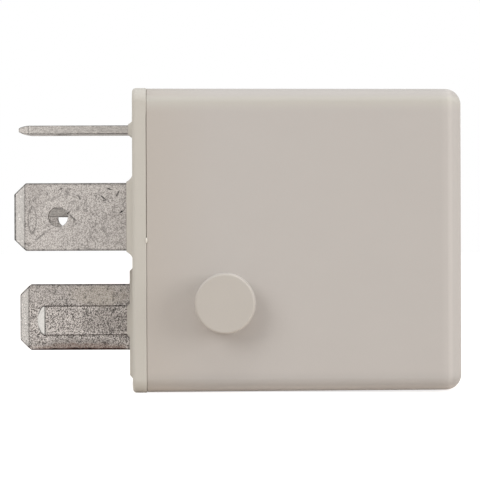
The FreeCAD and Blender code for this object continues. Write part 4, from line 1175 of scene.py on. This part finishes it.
        # The middle line, the two edges and the half thickness at each place.
        turn = np.clip((place - straight) / (bent - straight), 0, 1) * np.pi / 2
        line_x = tip + np.minimum(place, straight) + self.bend * np.sin(turn)
        line_y = self.bend * (1 - np.cos(turn)) + np.maximum(place - bent, 0)
        left = np.clip(1 - place / self.chamfer_run, 0, 1)
        soft = self.chamfer_round
        cut = self.chamfer[1] * (np.hypot(left, soft) - soft) / (math.hypot(1, soft) - soft)
        narrow = place >= self.neck - tip
        low = np.where(narrow, self.neck_low, self.common - HALF_BLADE) + cut + shrink
        high = np.where(narrow, self.neck_high, self.common + HALF_BLADE) - cut - shrink
        rise, bevel = self.half_sheet - self.nose, self.bevel
        chord = math.hypot(bevel, rise)
        reach = math.sqrt(self.bevel_radius**2 - (chord / 2) ** 2) / chord
        ahead = np.minimum(place, bevel) - bevel / 2 - rise * reach
        base = (self.half_sheet + self.nose) / 2 - bevel * reach
        crown = base + np.sqrt(self.bevel_radius**2 - ahead**2)
        thick = np.where(place < bevel, crown, self.half_sheet) - shrink

        # One ring at each place.
        radius = np.minimum(self.edge, 0.45 * thick)
        middle, half = (low + high) / 2, (high - low) / 2 - radius
        flat = middle + half * np.linspace(-1, 1, self.columns)
        outer = thick + self.bead(line_x, flat, place, 0.0)
        inner = self.bead(line_x, flat, place, self.bead_height) - thick
        corner = np.linspace(0, np.pi, 7)[1:-1]
        edge = radius * np.sin(corner)
        side = (thick - radius) * np.sign(np.cos(corner)) + radius * np.cos(corner)
        across = [flat, middle + half + edge, flat[:, ::-1], middle - half - edge[:, ::-1]]
        out = np.hstack([outer, side, inner[:, ::-1], side[:, ::-1]])
        ring = [line_x + out * np.sin(turn), line_y - out * np.cos(turn), np.hstack(across)]
        return np.stack(ring, axis=-1)

    def bead(self, along: Points, across: Points, place: Points, inset: float) -> Points:
        """The bead's rise over the outer face, or the matching hollow of the inner face.

        Args:
            along, across: places of the face's points along X and Z.
            place: their distance from the tip.
            inset: how much narrower the hollow is at each side; 0 for the outer face.

        Returns:
            How far each point is raised.
        """
        soft = self.bead_soft
        half = self.bead_half - inset
        side = np.abs(across - self.bead_middle)
        share = np.minimum(side / half, 1)
        # 0.985 keeps the half ellipse's slope finite where it meets the sides.
        start = self.bead_start + self.bead_ramp * (1 - np.sqrt(1 - 0.985 * share**2))
        start = start + (self.bead_ramp if inset else 0.0)
        ramp = np.clip((along - self.bead_start) / self.bead_ramp, 0, 1)
        within = _step(half - side, soft) * _step(along - start, soft)
        before_end = _step(self.bead_end + soft - along, soft)
        on_blade = place < self.neck - along.min()
        return self.bead_height * ramp * within * before_end * on_blade


@dataclass
class Magnet:
    """Yoke, core, bobbin, winding and the two coil leads.

    Attributes:
        edge: radius on the worked edges.
        pitch: distance between two turns of the winding.
        rows, columns: steps along each turn's width, and round the winding.
        bore: the winding's inside as a share of its outside.
        depth, crown: how far under the outside the turns' middle lies, and how far each turn
            rises from there, as shares of the wire's radius.
        slack: how far the layer as a whole rises and falls, as such a share.
        iron, core_iron, plastic, enamel: finishes.
    """

    edge: float = 0.05 * MM
    pitch: float = 0.2 * MM
    rows: int = 8
    columns: int = 96
    bore: float = 0.585
    depth: float = 1.6
    crown: float = 0.9
    slack: float = 0.15
    iron: Metal = Metal("zinc_plated_iron", srgb(196, 198, 196), srgb(140, 142, 140), 0.28)
    core_iron: Metal = Metal("core_iron", srgb(186, 184, 180), srgb(128, 126, 122), 0.3)
    plastic: MouldedPlastic = MouldedPlastic(
        "bobbin_plastic", srgb(48, 50, 54), srgb(48, 50, 54), specks=0.05, roughness=0.42
    )
    enamel: Enamel = Enamel()

    def build(self) -> None:
        """Make and dress every piece."""
        ride(dress(softened("yoke", self.edge), self.iron.material()), HOUSING)
        ride(dress(softened("bobbin", self.edge), self.plastic.material()), HOUSING)
        wire = self.enamel.material()
        ride(dress(self.winding(), wire), HOUSING)
        dress_nodes(self.core_iron.material(), "core")
        dress_nodes(wire, "coil_lead_start", "coil_lead_finish")

    def winding(self) -> Piece:
        """The wound wire as one sleeve whose outside shows every turn.

        The outside is a function of the place along the axis and the angle round it. With
        s = 2 * fraction(along / pitch + angle / full turn) - 1, which runs from -1 to 1 across
        each turn of the helix, the radius is
        outer + wire * (crown * sqrt(1 - s * s) - depth + slack * a slow wave along the axis).

        Returns:
            The sleeve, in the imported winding's place.
        """
        low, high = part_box("winding")
        centre = (low + high) / 2
        outer = (high.y - low.y) / 2
        wire = self.pitch / 2
        length = high.x - low.x
        along = np.linspace(0, length, int(length / self.pitch * self.rows))[:, None]
        angle = np.linspace(0, 2 * np.pi, self.columns, endpoint=False)[None]
        across = 2 * np.mod(along / self.pitch + angle / (2 * np.pi), 1.0) - 1
        wave = np.sin(3 * np.pi * along / length + 1)
        rise = self.crown * np.sqrt(1 - across**2) - self.depth + self.slack * wave
        inner = np.full((1, self.columns), outer * self.bore)
        radius = np.vstack([inner, np.minimum(outer + wire * rise, outer), inner])
        along = np.vstack([[[0.0]], along, [[length]]]) + 0 * radius
        grid = low.x + along, centre.y + radius * np.cos(angle), centre.z + radius * np.sin(angle)
        piece = grid_piece("winding_turns", np.stack(grid, axis=-1), Ends.LOOP)
        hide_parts("winding")
        return piece


@dataclass
class Contacts:
    """Armature, leaf, rivets and contacts.

    Attributes:
        edge, spring_edge: radii on the edges of the armature and of the leaf.
        still, moving: where the leaf's bend starts and ends, from the hinge; not used.
        bronze, iron, silver, brass: finishes.
    """

    edge: float = 0.05 * MM
    spring_edge: float = 0.03 * MM
    still: Triple = (-4.8 * MM, 0, 0)
    moving: Triple = (1.6 * MM, 0, 2.2 * MM)
    bronze: Metal = Metal(
        "spring_bronze", srgb(206, 158, 104), srgb(160, 112, 66), 0.26, lay=(1, 14, 1)
    )
    iron: Metal = Metal("armature_iron", srgb(196, 198, 196), srgb(140, 142, 140), 0.28)
    silver: Metal = Metal("contact_silver", srgb(224, 222, 216), srgb(176, 172, 164), 0.2)
    brass: Metal = Metal("rivet_brass", srgb(202, 176, 118), srgb(150, 124, 78), 0.25)

    def build(self) -> None:
        """Make and dress every piece."""
        ride(dress(softened("armature", self.edge), self.iron.material()), ARMATURE)
        leaf = dress(softened("contact_spring", self.spring_edge), self.bronze.material())
        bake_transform(leaf)
        contacts = "moving_contact", "fixed_contact_no", "fixed_contact_nc"
        dress_nodes(self.silver.material(), *contacts)
        dress_nodes(self.brass.material(), "yoke_rivets", "armature_rivets")


@dataclass
class Suppression:
    """The resistor across the coil, its leads and its solder.

    Attributes:
        lead, solder: finishes.
    """

    lead: Metal = Metal("tinned_lead", srgb(208, 206, 202), srgb(160, 158, 152), 0.25)
    solder: Metal = Metal("solder", srgb(214, 213, 210), srgb(166, 165, 160), 0.18, grain=0.5 * MM)

    def build(self) -> None:
        """Dress every piece."""
        low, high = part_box("resistor_body")
        middle = (low.y + high.y) / 2
        step = (high.y - low.y) / 7
        bands = (
            (middle - 2 * step, srgb(52, 84, 150)),
            (middle - step, srgb(120, 120, 118)),
            (middle, srgb(96, 56, 34)),
            (middle + 2 * step, srgb(176, 142, 70)),
        )
        dress_nodes(BandedLacquer(bands).material(), "resistor_body")
        dress_nodes(self.lead.material(), "resistor_leads")
        dress_nodes(self.solder.material(), "solder_joints")


# -------------------- studio


@dataclass(frozen=True)
class SoftBox:
    """An area lamp.

    Attributes:
        name: the lamp's name.
        place: where it hangs, in metres.
        size: its width and height, in metres.
        power: its power, in watts.
        tint: its colour.
    """

    name: str
    place: Triple
    size: Pair
    power: float
    tint: Colour = (1.0, 1.0, 1.0)

    def hang(self, target: Vector) -> None:
        """Add it to the scene.

        Args:
            target: the point that it is turned to.
        """
        data = bpy.data.lights.new(self.name, "AREA")
        data.color = self.tint
        data.shape = "RECTANGLE"
        data.size, data.size_y = self.size
        data.energy = self.power
        lamp = placed(self.name, data)
        lamp.location = self.place
        lamp.rotation_euler = (target - Vector(self.place)).to_track_quat("-Z", "Y").to_euler()


@dataclass
class Studio:
    """Camera, lamps, pale floor and white surroundings.

    Attributes:
        distance: of the camera from the middle of the object.
        aim: the point that it looks at, along X and Z.
        view_angle, roll: what it takes in and how far it is turned about its view, in degrees.
        lamps: the soft boxes.
        ambient: strength of the surroundings as a source of light.
        floor_paint, floor_glow: the floor's colour, and the light that whitens it where it is seen.
        floor_size, floor_gap: its side, and how far it lies under the object.
    """

    distance: float = 325 * MM
    aim: Pair = (9.87 * MM, 0.0)
    view_angle: float = 8.083
    roll: float = -0.2
    lamps: tuple[SoftBox, ...] = (
        SoftBox("top", (0.04, -0.12, 0.70), (0.6, 0.5), 1.54, (0.95, 1.0, 1.08)),
        SoftBox("right", (0.60, -0.25, 0.13), (0.4, 0.4), 2.15),
        SoftBox("left", (-0.42, -0.48, 0.34), (0.4, 0.4), 1.78),
    )
    ambient: float = 0.41
    floor_paint: Colour = (0.64, 0.58, 0.53)
    floor_glow: float = 0.78
    floor_size: float = 6.0
    floor_gap: float = 0.01 * MM

    def build(self) -> None:
        """Make everything round the object."""
        bpy.context.scene.view_settings.view_transform = "Standard"
        self.camera()
        self.world()
        self.floor()
        for lamp in self.lamps:
            lamp.hang(Vector((self.aim[0], 0, 0)))

    def camera(self) -> None:
        """The camera, level and square to the stud's side."""
        data = bpy.data.cameras.new("camera")
        data.sensor_width = 36
        data.lens = data.sensor_width / 2 / math.tan(math.radians(self.view_angle / 2))
        data.clip_start, data.clip_end = 0.01, 20
        camera = placed("camera", data)
        place = Matrix.Translation((self.aim[0], -self.distance, self.aim[1]))
        upright = Matrix.Rotation(math.radians(90), 4, "X")
        camera.matrix_world = place @ upright @ Matrix.Rotation(math.radians(self.roll), 4, "Z")
        bpy.context.scene.camera = camera

    def world(self) -> None:
        """White where it is seen, directly or in a gloss; dimmer as a source of light."""
        world = bpy.data.worlds.new("surroundings")
        world.use_nodes = True
        nodes = Nodes(world.node_tree)
        background = world.node_tree.nodes["Background"].inputs
        nodes.feed(background["Color"], (1.0, 1.0, 1.0))
        levels = {"Value": nodes.seen(), "To Min": self.ambient, "To Max": 1.0}
        nodes.feed(background["Strength"], nodes.node("ShaderNodeMapRange", inputs=levels))
        bpy.context.scene.world = world

    def floor(self) -> None:
        """A pale floor under the object, white to the camera where no shadow lies."""
        half = self.floor_size / 2
        level = CAD_BOX[0][2] - self.floor_gap
        signs = ((-1, -1), (1, -1), (1, 1), (-1, 1))
        mesh = bpy.data.meshes.new("floor")
        mesh.from_pydata([(half * x, half * y, level) for x, y in signs], [], [(0, 1, 2, 3)])
        shader = Shader("pale_floor")
        paint = Signal(shader, shader.surface.outputs[0])
        glow = shader.node("ShaderNodeEmission", inputs={"Strength": self.floor_glow})
        both = shader.node("ShaderNodeAddShader", inputs={0: paint, 1: glow})
        choice = shader.node("ShaderNodeMixShader", inputs={0: shader.seen(), 1: paint, 2: both})
        shader.feed(shader.tree.nodes["Material Output"].inputs["Surface"], choice)
        shader.finish(Base_Color=self.floor_paint, Roughness=0.9)
        dress(placed("floor", mesh), shader.material)


def main() -> None:
    """Build the studio and every sub-assembly in order."""
    logging.basicConfig(level=logging.INFO, format="%(name)s: %(message)s")
    Studio().build()
    for assembly in (Housing(), Terminals(), Magnet(), Contacts(), Suppression()):
        log.info("building %s", type(assembly).__name__)
        assembly.build()


if __name__ == "__main__":
    main()
